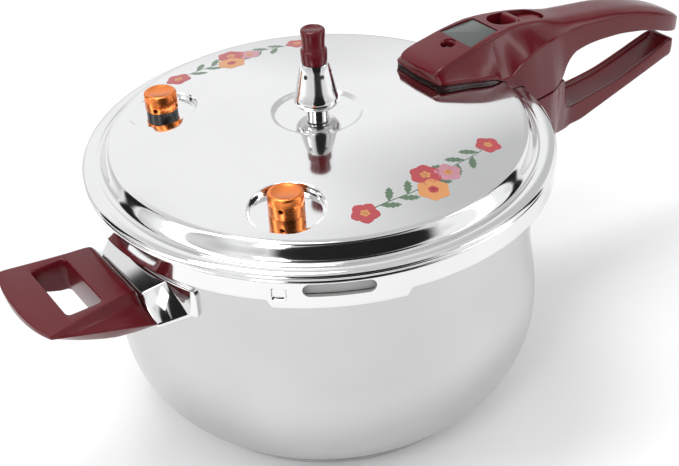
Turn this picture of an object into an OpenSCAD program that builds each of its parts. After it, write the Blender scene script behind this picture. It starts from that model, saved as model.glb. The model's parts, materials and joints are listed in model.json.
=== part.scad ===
// Stovetop pressure cooker with a bayonet lid, a two-part long handle and a helper handle.
// Millimetres. Z is up, z = 0 is the stove, and +X runs along the long handle.

/* [Pot] */
// Outer radius of the flat base
base_r = 94; // [90:1:96]
// Outer radius at the widest part of the belly
belly_r = 118.5; // [117:0.5:120]
// Outer radius of the neck under the lid
neck_r = 114; // [113:0.5:114.5]
// Thickness of the steel sheet
wall = 1.5; // [1.2:0.1:1.8]
// Height of the top of the turned-out rim
rim_z = 137.8; // [137:0.2:138]
// Outer radius of the turned-out rim
rim_r = 121.5; // [120.5:0.5:122]

/* [Lid] */
// Outer radius of the lid's skirt
lid_r = 125.4; // [125:0.2:126]
// Height of the lid's centre
dome_z = 165.5; // [164:0.5:166]
// Drop of the dome from its centre to its shoulder
dome_drop = 8.5; // [7:0.5:9]
// Angle that the lid turns to open, degrees
open_turn = 38; // [36:1:40]
// Angle taken by one low lobe of the skirt, degrees
lobe_angle = 30; // [28:1:31]

/* [Handles] */
// Distance from the pot's axis to the tip of the long handle
handle_tip = 274.5; // [270:0.5:282]
// Distance from the pot's axis to the nose of the lid handle
nose_x = 67; // [66:1:68]
// Distance from the pot's axis to the end of the helper handle
helper_tip = 179; // [176:1:182]

/* [Valves] */
// Distance of the safety valves from the lid's centre
valve_r = 86; // [84:1:88]
// Angle between each safety valve and the long handle, degrees
valve_angle = 134; // [131:1:137]
// Diameter of the safety valve caps
cap_d = 17.6; // [17:0.2:18]
// Travel of the safety valve plungers
plunger_lift = 1.5; // [1:0.1:1.6]

/* [Hidden] */
$fn = 64;
big = 400;
// Heights that every cutter reaches past: below the handles, under the lid, above the knob
below = 80;
under_lid = 140;
above = 220;
slit_w = 1.2;
slit_depth = 1.2;

// ---- shared curves ----------------------------------------------------------------------------

function blend(a, b, c, d, t) =
    0.5 * (2 * b + (c - a) * t + (2 * a - 5 * b + 4 * c - d) * t * t
        + (3 * b - a - 3 * c + d) * t * t * t);
// A smooth curve through points p, with n steps between neighbours
function smooth(p, n) = concat(
    [for (i = [0:len(p) - 2]) for (k = [0:n - 1])
        blend(p[max(i - 1, 0)], p[i], p[i + 1], p[min(i + 2, len(p) - 1)], k / n)],
    [p[len(p) - 1]]);
function reversed(p) = [for (i = [len(p) - 1:-1:0]) p[i]];
function along(p, i) = p[min(i + 1, len(p) - 1)] - p[max(i - 1, 0)];
function normal(v) = [-v.y, v.x] / norm(v);
// The curve p moved sideways by d, to the left of its direction
function moved(p, d) = [for (i = [0:len(p) - 1]) p[i] + d * normal(along(p, i))];
function arc(r, a0, a1, n) = [for (i = [0:n]) let (a = a0 + (a1 - a0) * i / n) r * [cos(a), sin(a)]];

// A wedge of angle a0 to a1 about the pot's axis
module wedge(a0, a1, z0, z1) {
    translate([0, 0, z0])
        linear_extrude(height = z1 - z0)
            polygon(concat([[0, 0]], arc(big, a0, a1, 12)));
}

module tube(r0, r1, z0, z1) {
    translate([0, 0, z0])
        difference() {
            cylinder(r = r1, h = z1 - z0);
            translate([0, 0, -1]) cylinder(r = r0, h = z1 - z0 + 2);
        }
}

module rod(r, z0, z1) {
    translate([0, 0, z0]) cylinder(r = r, h = z1 - z0);
}

module block(x0, x1, y0, y1, z0, z1) {
    translate([x0, y0, z0]) cube([x1 - x0, y1 - y0, z1 - z0]);
}

// ---- pot --------------------------------------------------------------------------------------

base_h = 5.5;
core_h = 4.3;
core_r = base_r - 2.5;
lug_z = rim_z - 3.6;
pot_wall_pts = smooth([
    [base_r, base_h],
    [base_r + 3.6, base_h + 2],
    [base_r + 8, base_h + 6],
    [base_r + 16, base_h + 15.5],
    [belly_r - 3.3, base_h + 26.5],
    [belly_r - 0.6, base_h + 38],
    [belly_r, base_h + 49.5],
    [belly_r - 0.8, base_h + 61],
    [belly_r - 2.6, base_h + 73],
    [neck_r + 0.4, base_h + 86],
    [neck_r, base_h + 100],
    [neck_r, lug_z]
], 3);
pot_inner_pts = moved(pot_wall_pts, wall);
inner_r = neck_r - wall;
floor_z = base_h + wall;
notch_angle = lobe_angle + 4;
// Middle angles of the three lobes, and of the rim notches that they drop through
lobe_at = [0, 120, 240];

module pot_section() {
    polygon(concat(
        [[0, base_h]],
        pot_wall_pts,
        [[rim_r, lug_z], [rim_r, rim_z - 1], [rim_r - 1, rim_z], [inner_r, rim_z]],
        [for (q = reversed(pot_inner_pts)) if (q.y > floor_z + 0.5) q],
        [[base_r, floor_z], [0, floor_z]]));
}

module pot_body() {
    color("silver")
        difference() {
            rotate_extrude($fn = 128) pot_section();
            for (a = lobe_at)
                intersection() {
                    wedge(a + open_turn - notch_angle / 2, a + open_turn + notch_angle / 2,
                        lug_z - 1, rim_z + 1);
                    tube(neck_r + 0.7, rim_r + 2, lug_z - 1, rim_z + 1);
                }
        }
}

module base_core() {
    color("lightgray") rod(core_r, base_h - core_h, base_h);
}

module base_cap() {
    cap_t = base_h - core_h;
    color("silver")
        difference() {
            rotate_extrude($fn = 128)
                polygon([[0, 0], [base_r - 2, 0], [base_r - 0.6, 0.6], [base_r, 2],
                    [base_r, 2.4], [base_r - 0.4, 2.6], [base_r - 0.4, base_h], [0, base_h]]);
            rod(core_r, cap_t, base_h + 1);
        }
}

// A plate on the pot's neck, half_w either side of the X axis
plate_t = 1.6;
module neck_plate(half_w, z0, z1) {
    a = asin(half_w / neck_r);
    intersection() {
        tube(neck_r, neck_r + plate_t, z0, z1);
        wedge(-a, a, z0 - 1, z1 + 1);
    }
}

// The tongue that a handle slides over, from the neck plate out to x1
module tongue(x1, half_w, z0, z1, hole_x) {
    difference() {
        block(neck_r - 20, x1, -half_w, half_w, z0, z1);
        rod(neck_r + plate_t / 2, z0 - 1, z1 + 1);
        translate([hole_x, 0, 0]) rod(screw_r, z0 - 1, z1 + 1);
    }
}

// ---- screws -----------------------------------------------------------------------------------

screw_r = 2.5;
head_r = 4.4;
head_h = 3;

// A screw with its head below, at x, its shank up to z1
module screw_up(x, z0, z1) {
    translate([x, 0, 0])
        difference() {
            union() {
                rod(head_r, z0, z0 + head_h);
                rod(screw_r, z0, z1);
            }
            block(-head_r, head_r, -slit_w / 2, slit_w / 2, z0 - 1, z0 + slit_depth);
            block(-slit_w / 2, slit_w / 2, -head_r, head_r, z0 - 1, z0 + slit_depth);
        }
}

module screw_up_bore(x, z_head, z1) {
    translate([x, 0, 0]) {
        rod(head_r + 0.3, 0, z_head + head_h);
        rod(screw_r, 0, z1);
    }
}

// ---- lofted handles ---------------------------------------------------------------------------

// A handle is a closed skin over stations along X. A station is
// [x, half width at the top, at the crease, at the bottom, z of the top, crease and bottom, corner]
corner_n = 4;
function corner_of(s, i) = min(s[7], 0.9 * abs(s[5] - s[i]), 0.9 * s[1]);
function ring_point(s, sx, up, a) =
    let (c = corner_of(s, up ? 4 : 6), hw = up ? s[1] : s[3], z = up ? s[4] : s[6], sz = up ? 1 : -1)
    [s[0], sx * (hw - c + c * cos(a)), z - sz * (c - c * sin(a))];
function station_ring(s) = concat(
    [for (i = [0:corner_n]) ring_point(s, 1, false, 90 - 90 * i / corner_n)],
    [[s[0], s[2], s[5]]],
    [for (i = [0:corner_n]) ring_point(s, 1, true, 90 * i / corner_n)],
    [for (i = [0:corner_n]) ring_point(s, -1, true, 90 - 90 * i / corner_n)],
    [[s[0], -s[2], s[5]]],
    [for (i = [0:corner_n]) ring_point(s, -1, false, 90 * i / corner_n)]);
module skin(stations) {
    rings = [for (s = stations) station_ring(s)];
    m = len(rings[0]);
    n = len(rings);
    polyhedron(
        points = [for (r = rings) for (q = r) q],
        faces = concat(
            [[for (i = [0:m - 1]) i]],
            [for (k = [0:n - 2]) for (i = [0:m - 1]) let (j = (i + 1) % m)
                [k * m + i, (k + 1) * m + i, (k + 1) * m + j]],
            [for (k = [0:n - 2]) for (i = [0:m - 1]) let (j = (i + 1) % m)
                [k * m + i, (k + 1) * m + j, k * m + j]],
            [[for (i = [m - 1:-1:0]) (n - 1) * m + i]]),
        convexity = 6);
}

// ---- helper handle ----------------------------------------------------------------------------

helper_root = 123.5;
helper_top_z = 120.5;
helper_low_z = 100.5;
helper_tongue = [105.5, 109.5];
helper_tongue_end = 138;
helper_tongue_half = 16;
helper_screw_x = 131;
helper_head_z = 101.6;
helper_hole_x = [142.7, 161];
helper_hole_half = 22;
helper_hole_r = 3;
saddle_z = [104.5, 121.5];
saddle_nose_z = 113.5;
saddle_step_z = 107;
saddle_half = [39.5, 27];
helper_plate_half = 48;

// The saddle on the neck slopes down to the handle's root and narrows upwards
module helper_saddle() {
    intersection() {
        rotate([90, 0, 0])
            translate([0, 0, -big / 2])
                linear_extrude(height = big)
                    polygon([[neck_r - 20, saddle_z[0]], [helper_root, saddle_z[0]],
                        [helper_root, saddle_nose_z], [neck_r + 2.2, saddle_z[1]],
                        [neck_r - 20, saddle_z[1]]]);
        rotate([90, 0, 90])
            linear_extrude(height = big)
                polygon([[-saddle_half[0], 0], [saddle_half[0], 0], [saddle_half[0], saddle_step_z],
                    [saddle_half[1], saddle_z[1] + 1], [-saddle_half[1], saddle_z[1] + 1],
                    [-saddle_half[0], saddle_step_z]]);
    }
}

module helper_bracket() {
    color("silver")
        mirror([1, 0, 0]) {
            neck_plate(helper_plate_half, 106.5, 122.5);
            difference() {
                helper_saddle();
                rod(neck_r + plate_t / 2, below, under_lid);
                translate([helper_screw_x, 0, 0]) rod(screw_r, below, under_lid);
            }
            tongue(helper_tongue_end, helper_tongue_half, helper_tongue[0], helper_tongue[1],
                helper_screw_x);
        }
}

helper_stations = smooth([
    [helper_root, 20.5, 38.6, 37.4, 113.6, 107, 101.8, 1],
    [helper_root + 2.5, 22.6, 38.5, 36.9, 118.9, 107.8, helper_low_z + 0.6, 1],
    [helper_root + 6.5, 24.2, 38, 36, helper_top_z, 108.7, helper_low_z, 1],
    [helper_root + 16.5, 25.6, 36.3, 34, helper_top_z, 110.9, helper_low_z, 1.2],
    [helper_root + 28.5, 27.9, 34.6, 32.2, helper_top_z, 113.5, 103.8, 1.2],
    [helper_tip - 13, 30.8, 32.9, 30.7, helper_top_z, 116.8, 110.2, 1.2],
    [helper_tip - 5.6, 32, 32.3, 29.3, helper_top_z, 118.7, 114.7, 1],
    [helper_tip - 3.8, 28.6, 28.9, 26, helper_top_z - 0.1, 118.8, 115.2, 0.8],
    [helper_tip - 2.4, 24.6, 24.9, 22, helper_top_z - 0.1, 118.9, 115.6, 0.8],
    [helper_tip - 1.2, 19.2, 19.5, 16.8, helper_top_z - 0.2, 118.9, 115.9, 0.8],
    [helper_tip - 0.4, 12.8, 13.1, 10.8, helper_top_z - 0.3, 118.8, 116.2, 0.8],
    [helper_tip, 6.5, 6.7, 5, helper_top_z - 0.5, 118.6, 116.6, 0.8]
], 3);

// The hole for the fingers, with rounded corners
module helper_hole() {
    x0 = helper_hole_x[0];
    x1 = helper_hole_x[1];
    side = helper_hole_half - helper_hole_r;
    block(x0, x1, -side, side, below, under_lid);
    block(x0 + helper_hole_r, x1 - helper_hole_r, -helper_hole_half, helper_hole_half, below, under_lid);
    for (x = [x0 + helper_hole_r, x1 - helper_hole_r])
        for (y = [-side, side])
            translate([x, y, 0]) rod(helper_hole_r, below, under_lid);
}

module helper_handle() {
    color("maroon")
        mirror([1, 0, 0])
            difference() {
                skin(helper_stations);
                helper_hole();
                block(100, helper_tongue_end, -helper_tongue_half, helper_tongue_half,
                    helper_tongue[0], helper_tongue[1]);
                screw_up_bore(helper_screw_x, helper_head_z, helper_tongue[1]);
            }
}

module helper_screw() {
    color("dimgray")
        mirror([1, 0, 0])
            screw_up(helper_screw_x, helper_head_z, helper_tongue[1]);
}

// ---- pot handle -------------------------------------------------------------------------------

parting_z = 137;
part_gap = 0.8;
block_z = parting_z - part_gap;
handle_root = 118;
pot_screw_x = 140;
pot_tongue = [112, 117];
pot_tongue_end = 150;
pot_tongue_half = 11;
pot_head_z = 106.5;
pot_plate_half = 24;
tooth_r = [143, 149];
lock_travel = 7;
tooth_half = 4;
groove_z = 130;
tooth_z = 131;
groove_play = 0.6;
skirt_room_z = 128.5;
skirt_play = 1.2;

module pot_handle_bracket() {
    color("silver") {
        neck_plate(pot_plate_half, 107, 123);
        tongue(pot_tongue_end, pot_tongue_half, pot_tongue[0], pot_tongue[1], pot_screw_x);
    }
}

// The block that the lid handle parts from, then the lower grip bar
grip_end = handle_tip - 7;
pot_handle_stations = smooth([
    [handle_root, 27.5, 27, 24.5, block_z, 120, 107, 2],
    [130, 27.6, 27, 24.5, block_z, 120, 106, 2],
    [144, 26, 25.6, 24, block_z, 119, 104.8, 2],
    [152, 23, 23, 22.4, block_z, 118, 103.6, 2],
    [158, 19.6, 19.8, 19.6, block_z, 115, 101.2, 2],
    [163.5, 17.4, 17.6, 17.6, block_z - 1, 112, 99.8, 2],
    [166, 16.3, 16.6, 16.8, 125, 110, 99.4, 2],
    [168.5, 15.3, 15.7, 16.2, 115.4, 107.6, 99.2, 2],
    [173, 14, 14.5, 15.3, 112.5, 106.5, 99.1, 2],
    [182, 12.9, 13.6, 14.3, 112.2, 106.2, 98.8, 2],
    [196, 12.1, 12.7, 13.2, 113.2, 107.4, 101.1, 2],
    [215, 11.5, 12, 12.2, 115.4, 110.3, 105.2, 2],
    [238, 10.9, 11.3, 11.2, 121, 116, 110.4, 2],
    [254, 10.4, 10.6, 10.3, 125.6, 120, 114, 2],
    [grip_end - 5, 9.7, 9.9, 9.5, 127.9, 122.5, 116, 2],
    [grip_end - 1.5, 8.8, 9, 8.5, 128.1, 122.8, 117.2, 2],
    [grip_end, 6.6, 6.7, 6.4, 127, 123, 119, 2]
], 2);

module pot_handle() {
    pocket_x = [tooth_r[0] - lock_travel - groove_play, tooth_r[1] + groove_play];
    color("maroon")
        difference() {
            skin(pot_handle_stations);
            // room for the pot's neck, its bracket and the lid's skirt
            rod(neck_r + plate_t, 80, 140);
            rod(lid_r + skirt_play, skirt_room_z, 140);
            block(100, pot_tongue_end, -pot_tongue_half, pot_tongue_half, pot_tongue[0], pot_tongue[1]);
            screw_up_bore(pot_screw_x, pot_head_z, pot_tongue[1]);
            // dead-end pocket for the bolt's tooth, and the groove that lets it out sideways
            block(pocket_x[0], pocket_x[1], -tooth_half - groove_play, tooth_half + groove_play,
                groove_z, 140);
            intersection() {
                tube(tooth_r[0] - groove_play, tooth_r[1] + 2 * groove_play, groove_z, 140);
                wedge(-3, 30, 100, 150);
            }
        }
}

module pot_handle_screw() {
    color("dimgray") screw_up(pot_screw_x, pot_head_z, pot_tongue[1]);
}

// ---- lid --------------------------------------------------------------------------------------

skirt_top = 147.4;
gap_z = 135;
lobe_z = 131;
tab_t = 2.8;
tab_r = 117;
shoulder_r = 111;
centre_r = 21.7;
recess_depth = 2;
valve_floor = 158;
valve_recess_r = 18.5;
valve_at = [-valve_angle, valve_angle];
valve_hole_r = 5;
pin_x = 88;
pin_floor = 158.6;
pin_recess_r = 8;
pin_hole_r = 4;

centre_z = dome_z - recess_depth;
function dome(r) = dome_z - dome_drop * pow(r / shoulder_r, 2);
dome_pts = [for (i = [0:6]) let (r = centre_r + 4.8 + i * 13.5) [r, dome(r)]];
lid_outer_pts = concat(
    [[0, centre_z], [centre_r, centre_z], [centre_r + 1.2, centre_z + 0.3],
        [centre_r + 3.4, dome(centre_r) - 0.6]],
    dome_pts,
    smooth([
        [shoulder_r - 1, dome(shoulder_r - 1)],
        [shoulder_r + 1.3, dome(shoulder_r) - 1.6],
        [shoulder_r + 2.3, dome(shoulder_r) - 4],
        [shoulder_r + 3.2, 150.3],
        [shoulder_r + 5, 149.2],
        [shoulder_r + 7.5, 149.9],
        [shoulder_r + 10.5, 149.9],
        [shoulder_r + 13, 149],
        [lid_r - 0.2, skirt_top + 0.2]
    ], 3));
skirt_pts = [[lid_r, skirt_top], [lid_r - 0.5, skirt_top - 0.6], [lid_r - 0.5, skirt_top - 1.2],
    [lid_r, skirt_top - 1.8], [lid_r, lobe_z]];
lid_curve = [for (q = lid_outer_pts) if (q.x > 0) q];
lid_under_pts = [for (q = moved(lid_curve, -wall)) if (q.x < lid_r - wall - 0.4) q];

module lid_fill_section(grow) {
    polygon(concat(
        [[0, 100]],
        [for (q = lid_outer_pts) [q.x + (q.x > shoulder_r ? grow : 0), q.y + grow]],
        [for (q = skirt_pts) [q.x + grow, q.y]],
        [[lid_r + grow, 100]]));
}

// Everything under the lid's outer surface
module lid_fill(grow) {
    rotate_extrude($fn = 128) lid_fill_section(grow);
}

module lid_section() {
    polygon(concat(
        lid_outer_pts,
        skirt_pts,
        [[lid_r - wall, lobe_z], [lid_r - wall, skirt_top - 1.5]],
        reversed(lid_under_pts),
        [[0, centre_z - wall]]));
}

module at_valve(k) {
    rotate([0, 0, valve_at[k]]) translate([valve_r, 0, 0]) children();
}

module pad(r, z) {
    rod(r + wall, z - wall, above);
}

module lid_shell() {
    color("silver")
        difference() {
            union() {
                difference() {
                    rotate_extrude($fn = 128) lid_section();
                    // between the lobes the skirt ends higher
                    for (a = lobe_at)
                        intersection() {
                            tube(lid_r - 6, lid_r + 6, lobe_z - 1, gap_z);
                            wedge(a + lobe_angle / 2, a + 120 - lobe_angle / 2, lobe_z - 1, gap_z);
                        }
                }
                for (a = lobe_at)
                    intersection() {
                        tube(tab_r, lid_r - wall / 2, lobe_z, lobe_z + tab_t);
                        wedge(a - lobe_angle / 2 + 2, a + lobe_angle / 2 - 2, 100, 150);
                    }
                intersection() {
                    lid_fill(0);
                    union() {
                        for (k = [0, 1]) at_valve(k) pad(valve_recess_r, valve_floor);
                        translate([pin_x, 0, 0]) pad(pin_recess_r, pin_floor);
                    }
                }
                dimple_back();
            }
            dimple_front();
            for (k = [0, 1])
                at_valve(k) {
                    rod(valve_recess_r, valve_floor, above);
                    rod(valve_hole_r, under_lid, above);
                }
            translate([pin_x, 0, 0]) {
                rod(pin_recess_r, pin_floor, above);
                rod(pin_hole_r, under_lid, above);
            }
            rod(valve_hole_r, under_lid, above);
            rim_window();
        }
}

// The window in the skirt that lets the sealing ring bulge out
module rim_window() {
    width = 34;
    z = 141.5;
    r = 3.5;
    end = width / 2 - r;
    rotate([0, 0, lobe_at[2]])
        translate([lid_r - 5, 0, z])
            rotate([90, 0, 90])
                linear_extrude(height = 10)
                    polygon(concat(
                        [for (q = arc(r, -90, 90, 10)) q + [end, 0]],
                        [for (q = arc(r, 90, 270, 10)) q - [end, 0]]));
}

// A bump pressed into the skirt at one end of a lobe
dimple_z = [135.8, 142.4];
module at_dimple() {
    rotate([0, 0, lobe_at[2] - lobe_angle / 2 + 2.2]) children();
}
module dimple_back() {
    at_dimple() block(lid_r - wall - 1.2, lid_r - wall / 2, -4.6, 4.6, dimple_z[0], dimple_z[1]);
}
module dimple_front() {
    at_dimple() block(lid_r - 1.3, lid_r + 2, -3.8, 3.8, dimple_z[0] + 0.8, dimple_z[1] - 0.8);
}

module gasket() {
    lip_z = rim_z + 0.3;
    top_z = 147;
    outer_r = lid_r - wall - 1.4;
    color("dimgray")
        rotate_extrude($fn = 128)
            polygon([[inner_r + 1, lip_z], [outer_r, lip_z], [outer_r, top_z - 1.2],
                [outer_r - 1.2, top_z], [shoulder_r + 6.4, top_z], [shoulder_r + 6.2, top_z - 1.8],
                [outer_r - 2.8, top_z - 2], [outer_r - 2.8, lip_z + 2.2], [inner_r + 1, lip_z + 1.4]]);
}

// ---- lid handle -------------------------------------------------------------------------------

bracket_x = [96, 115];
bracket_half = 9;
bracket_top = 164;
bracket_play = 0.2;
screw_x = 104.5;
lid_head_z = 171;
bolt_z = [167, 170.7];
bolt_half = 5;
slot_x = [118.5, 157];
slot_half = 8;
slot_floor = 170.5;
slide_play = 0.4;
plate_x = [93.6, 115.2];
plate_half = [13.2, 10.5];
plate_inlay = 1.4;
plate_z = [177, 179.4];

lid_handle_stations = smooth([
    [nose_x, 14.9, 19, 19.4, 169.2, 165.6, parting_z, 0.8],
    [nose_x + 1.2, 16, 20.4, 20.9, 170.8, 165.5, parting_z, 1],
    [nose_x + 3, 16.3, 21.2, 21.7, 171.9, 165.2, parting_z, 1.2],
    [nose_x + 6, 16.4, 21.8, 22.3, 173, 164.7, parting_z, 1.4],
    [nose_x + 18, 16, 23.6, 24.2, 175.5, 162.6, parting_z, 1.4],
    [nose_x + 30, 15.5, 26, 26.6, 178, 160.2, parting_z, 1.4],
    [nose_x + 40, 14.9, 26.6, 27.2, 179.3, 157, parting_z, 1.6],
    [nose_x + 46, 14.2, 26.2, 27.6, 179.9, 157.4, parting_z, 1.8],
    [nose_x + 54, 13.1, 25.8, 27.8, 179.9, 162, parting_z, 2.2],
    [nose_x + 64, 11.8, 23.9, 27.5, 179.2, 164.6, parting_z, 2.5],
    [nose_x + 74, 11.2, 20.6, 26.3, 177.7, 164.4, parting_z, 2.5],
    [nose_x + 82, 11, 18, 24.6, 176.1, 164.1, parting_z, 2.5],
    [nose_x + 88, 10.8, 16.5, 21.6, 174.8, 163.9, parting_z, 2.5],
    [nose_x + 93.5, 10.6, 15.5, 18.5, 173.4, 163.8, parting_z, 3],
    [nose_x + 97.5, 10.6, 15, 17, 172.5, 163.6, parting_z + 5, 3],
    [nose_x + 102, 10.6, 14.6, 16.2, 171.4, 163.3, 147.4, 3],
    [nose_x + 108, 10.7, 14.2, 15.3, 170.1, 163, 150.2, 3],
    [nose_x + 121, 10.4, 13.8, 14.4, 168.2, 162.4, 150.7, 3],
    [nose_x + 140, 9.8, 13.5, 13.9, 165, 160.6, 149.7, 3],
    [nose_x + 161, 9.6, 13.2, 13.5, 160.2, 155.2, 146, 3],
    [nose_x + 179, 9.4, 12.6, 12.8, 154.8, 149.5, 140.8, 3],
    [handle_tip - 20, 8.8, 11.7, 11.8, 151.4, 146.6, 137.5, 3],
    [handle_tip - 10, 6.6, 9.3, 9.3, 146.4, 142.9, 133.7, 3],
    [handle_tip - 4, 5.2, 7, 6.8, 142.6, 140.4, 132.6, 2],
    [handle_tip - 1, 3.2, 3.9, 3.7, 139.8, 138.4, 133.1, 2],
    [handle_tip, 1.9, 2.2, 2.1, 138.4, 137.2, 134.2, 2]
], 2);

// The seam between the handle's dark under-layer and its upper shell, seen from the side
module under_seam(grow) {
    rotate([90, 0, 0])
        translate([0, 0, -big / 2])
            linear_extrude(height = big)
                polygon([[50, 100], [50, 166 + grow], [68, 165.7 + grow], [79, 163.6 + grow],
                    [93, 161.3 + grow], [101, 159.6 + grow], [104.5, 157.9 + grow],
                    [106.5 + grow, 155.5], [106.5 + grow, 100]]);
}

module bracket_block(grow) {
    block(bracket_x[0] - grow, bracket_x[1] + grow, -bracket_half - grow, bracket_half + grow,
        140, bracket_top + grow);
}

module lid_bracket() {
    color("silver")
        difference() {
            bracket_block(0);
            lid_fill(0);
            translate([screw_x, 0, 0]) rod(screw_r, below, above);
        }
}

module lid_handle_base() {
    color("#2a1216")
        difference() {
            intersection() {
                skin(lid_handle_stations);
                under_seam(0);
            }
            lid_fill(0);
            bracket_block(bracket_play);
            translate([pin_x, 0, 0]) rod(indicator_bore_r, 120, 200);
        }
}

// A slot along X with round ends
module stadium(x0, x1, r, z0, z1) {
    for (x = [x0 + r, x1 - r]) translate([x, 0, 0]) rod(r, z0, z1);
    block(x0 + r, x1 - r, -r, r, z0, z1);
}

// The inlaid plate: a flat tapering piece that follows the slope of the handle's top
plate_tilt = atan((plate_z[1] - plate_z[0]) / (plate_x[1] - plate_x[0]));
module plate_layer(below, above) {
    intersection() {
        translate([0, 0, 150])
            linear_extrude(height = 50)
                polygon([[plate_x[0], -plate_half[0]], [plate_x[1], -plate_half[1]],
                    [plate_x[1], plate_half[1]], [plate_x[0], plate_half[0]]]);
        translate([plate_x[0], 0, plate_z[0]])
            rotate([0, -plate_tilt, 0])
                block(-5, 40, -20, 20, -below, above);
    }
}

indicator_bore_r = 6;
pin_bore_r = 3.5;
spring_top = 168;

module lid_handle() {
    color("maroon")
        difference() {
            skin(lid_handle_stations);
            under_seam(0);
            lid_fill(0.3);
            bracket_block(bracket_play);
            plate_layer(plate_inlay, 20);
            // counterbore of the screw under the plate
            translate([screw_x, 0, 0]) {
                rod(screw_r + 0.3, 120, 200);
                rod(head_r + 0.3, lid_head_z, 200);
            }
            // pressure pin
            translate([pin_x, 0, 0]) {
                rod(pin_bore_r, 120, 200);
                rod(indicator_bore_r, 120, spring_top);
            }
            // slider recess in the top, the bolt's channel under it and the tooth's way down
            stadium(slot_x[0], slot_x[1], slot_half, slot_floor, 200);
            block(slot_x[0], slot_x[1], -bolt_half - slide_play, bolt_half + slide_play,
                bolt_z[0] - slide_play, slot_floor + 1);
            block(tooth_r[0] - lock_travel - groove_play, tooth_r[1] + groove_play,
                -tooth_half - slide_play, tooth_half + slide_play, 120, slot_floor);
        }
}

module lid_handle_screw() {
    head_top = lid_head_z + 2.8;
    slit_z = head_top - slit_depth;
    translate([screw_x, 0, 0])
        color("dimgray")
            difference() {
                union() {
                    rod(screw_r, bracket_top - 4, lid_head_z);
                    rod(head_r, lid_head_z, head_top);
                }
                block(-head_r, head_r, -slit_w / 2, slit_w / 2, slit_z, above);
                block(-slit_w / 2, slit_w / 2, -head_r, head_r, slit_z, above);
            }
}

module window_plate() {
    color("#58625c") plate_layer(plate_inlay, 0);
}

// ---- lock -------------------------------------------------------------------------------------

bolt_x = [133, slot_x[1] - 0.6];

module lock_bolt() {
    color("dimgray") {
        block(bolt_x[0], bolt_x[1], -bolt_half, bolt_half, bolt_z[0], bolt_z[1]);
        block(tooth_r[0], tooth_r[1], -tooth_half, tooth_half, tooth_z, bolt_z[0]);
    }
}

module lock_slider() {
    x0 = bolt_x[0] - 0.5;
    x1 = slot_x[1] - 1;
    r = slot_half - slide_play;
    color("firebrick")
        difference() {
            intersection() {
                rotate([90, 0, 0])
                    translate([0, 0, -big / 2])
                        linear_extrude(height = big)
                            polygon([[x0, bolt_z[1]], [x1, bolt_z[1]], [x1, 172.7], [x0 + 8.5, 174.8],
                                [x0 + 4.6, 178.4], [x0 + 2.6, 179.6], [x0 + 1, 179.2], [x0, 176.5]]);
                union() {
                    stadium(x0, x1, r, under_lid, above);
                    block(x0, x0 + r, -r, r, under_lid, above);
                }
            }
            // ribs of the thumb pad
            for (k = [0:5])
                translate([x0 + 11.2 + 2 * k, 0, 174.5 - 0.27 * k])
                    rotate([90, 0, 0])
                        cylinder(r = 0.6, h = big, center = true);
        }
}

// ---- pressure pin -----------------------------------------------------------------------------

module indicator_pin() {
    pin_r = 2;
    head_z = 171.3;
    head_r1 = pin_bore_r - 0.4;
    flange = [160.1, 161.1];
    foot = [151, 152];
    color("silver")
        translate([pin_x, 0, 0]) {
            rod(pin_r, foot[0], head_z);
            rod(pin_r + 1.2, foot[0], foot[1]);
            rod(4.6, flange[0], flange[1]);
            difference() {
                translate([0, 0, head_z]) sphere(r = head_r1);
                rod(2 * head_r1, under_lid, head_z);
            }
            rod(head_r1, head_z - 2, head_z);
        }
}

module indicator_seal() {
    inner = 2.1;
    outer = 5.6;
    color("black")
        translate([pin_x, 0, 0])
            rotate_extrude()
                polygon([[inner, 155.4], [outer, 155.4], [outer, pin_floor - wall],
                    [pin_hole_r, pin_floor - wall], [pin_hole_r, pin_floor], [outer, pin_floor],
                    [outer, 160], [inner, 160]]);
}

// Turns of a round spring, as a plain sleeve
module spring(r, wire, z0, z1) {
    tube(r - wire, r, z0, z1);
}

module indicator_spring() {
    color("gray") translate([pin_x, 0, 0]) spring(4.5, 0.6, 161.1, spring_top);
}

// ---- vent pipe and weight ---------------------------------------------------------------------

lid_floor = centre_z;
pipe_bore = 1.6;
pipe_r = 3.4;
pipe_foot_r = 4.9;
pipe_top = 175;
pipe_washer_t = 1.6;

module hexagon(across, z0, z1) {
    translate([0, 0, z0]) cylinder(d = across / cos(30), h = z1 - z0, $fn = 6);
}

module vent_pipe() {
    color("silver")
        difference() {
            union() {
                rod(5.8, lid_floor, lid_floor + 3.5);
                rod(pipe_foot_r, 150, lid_floor);
                rod(pipe_r, lid_floor + 3.5, pipe_top);
            }
            rod(pipe_bore, below, above);
        }
}

module vent_washer() {
    color("black") tube(pipe_foot_r, 9, lid_floor - wall - pipe_washer_t, lid_floor - wall);
}

module vent_nut() {
    z1 = lid_floor - wall - pipe_washer_t;
    color("silver")
        difference() {
            hexagon(15, z1 - 4, z1);
            rod(pipe_foot_r, below, above);
        }
}

module vent_strainer() {
    z0 = 148.5;
    color("lightgray")
        difference() {
            rod(6.2, z0, 154.4);
            rod(pipe_foot_r, 150, above);
            rod(3.9, z0 + 0.8, above);
            for (k = [0:5])
                rotate([0, 0, 60 * k]) translate([2.7, 0, 0]) rod(0.5, under_lid, above);
            rod(0.6, under_lid, above);
        }
}

weight_z = [167.6, 193.6];
weight_r = [11.9, 7.4];
weight_top = 212;
needle_r = 2.2;
needle_tip = [173.2, 176.7];

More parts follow.
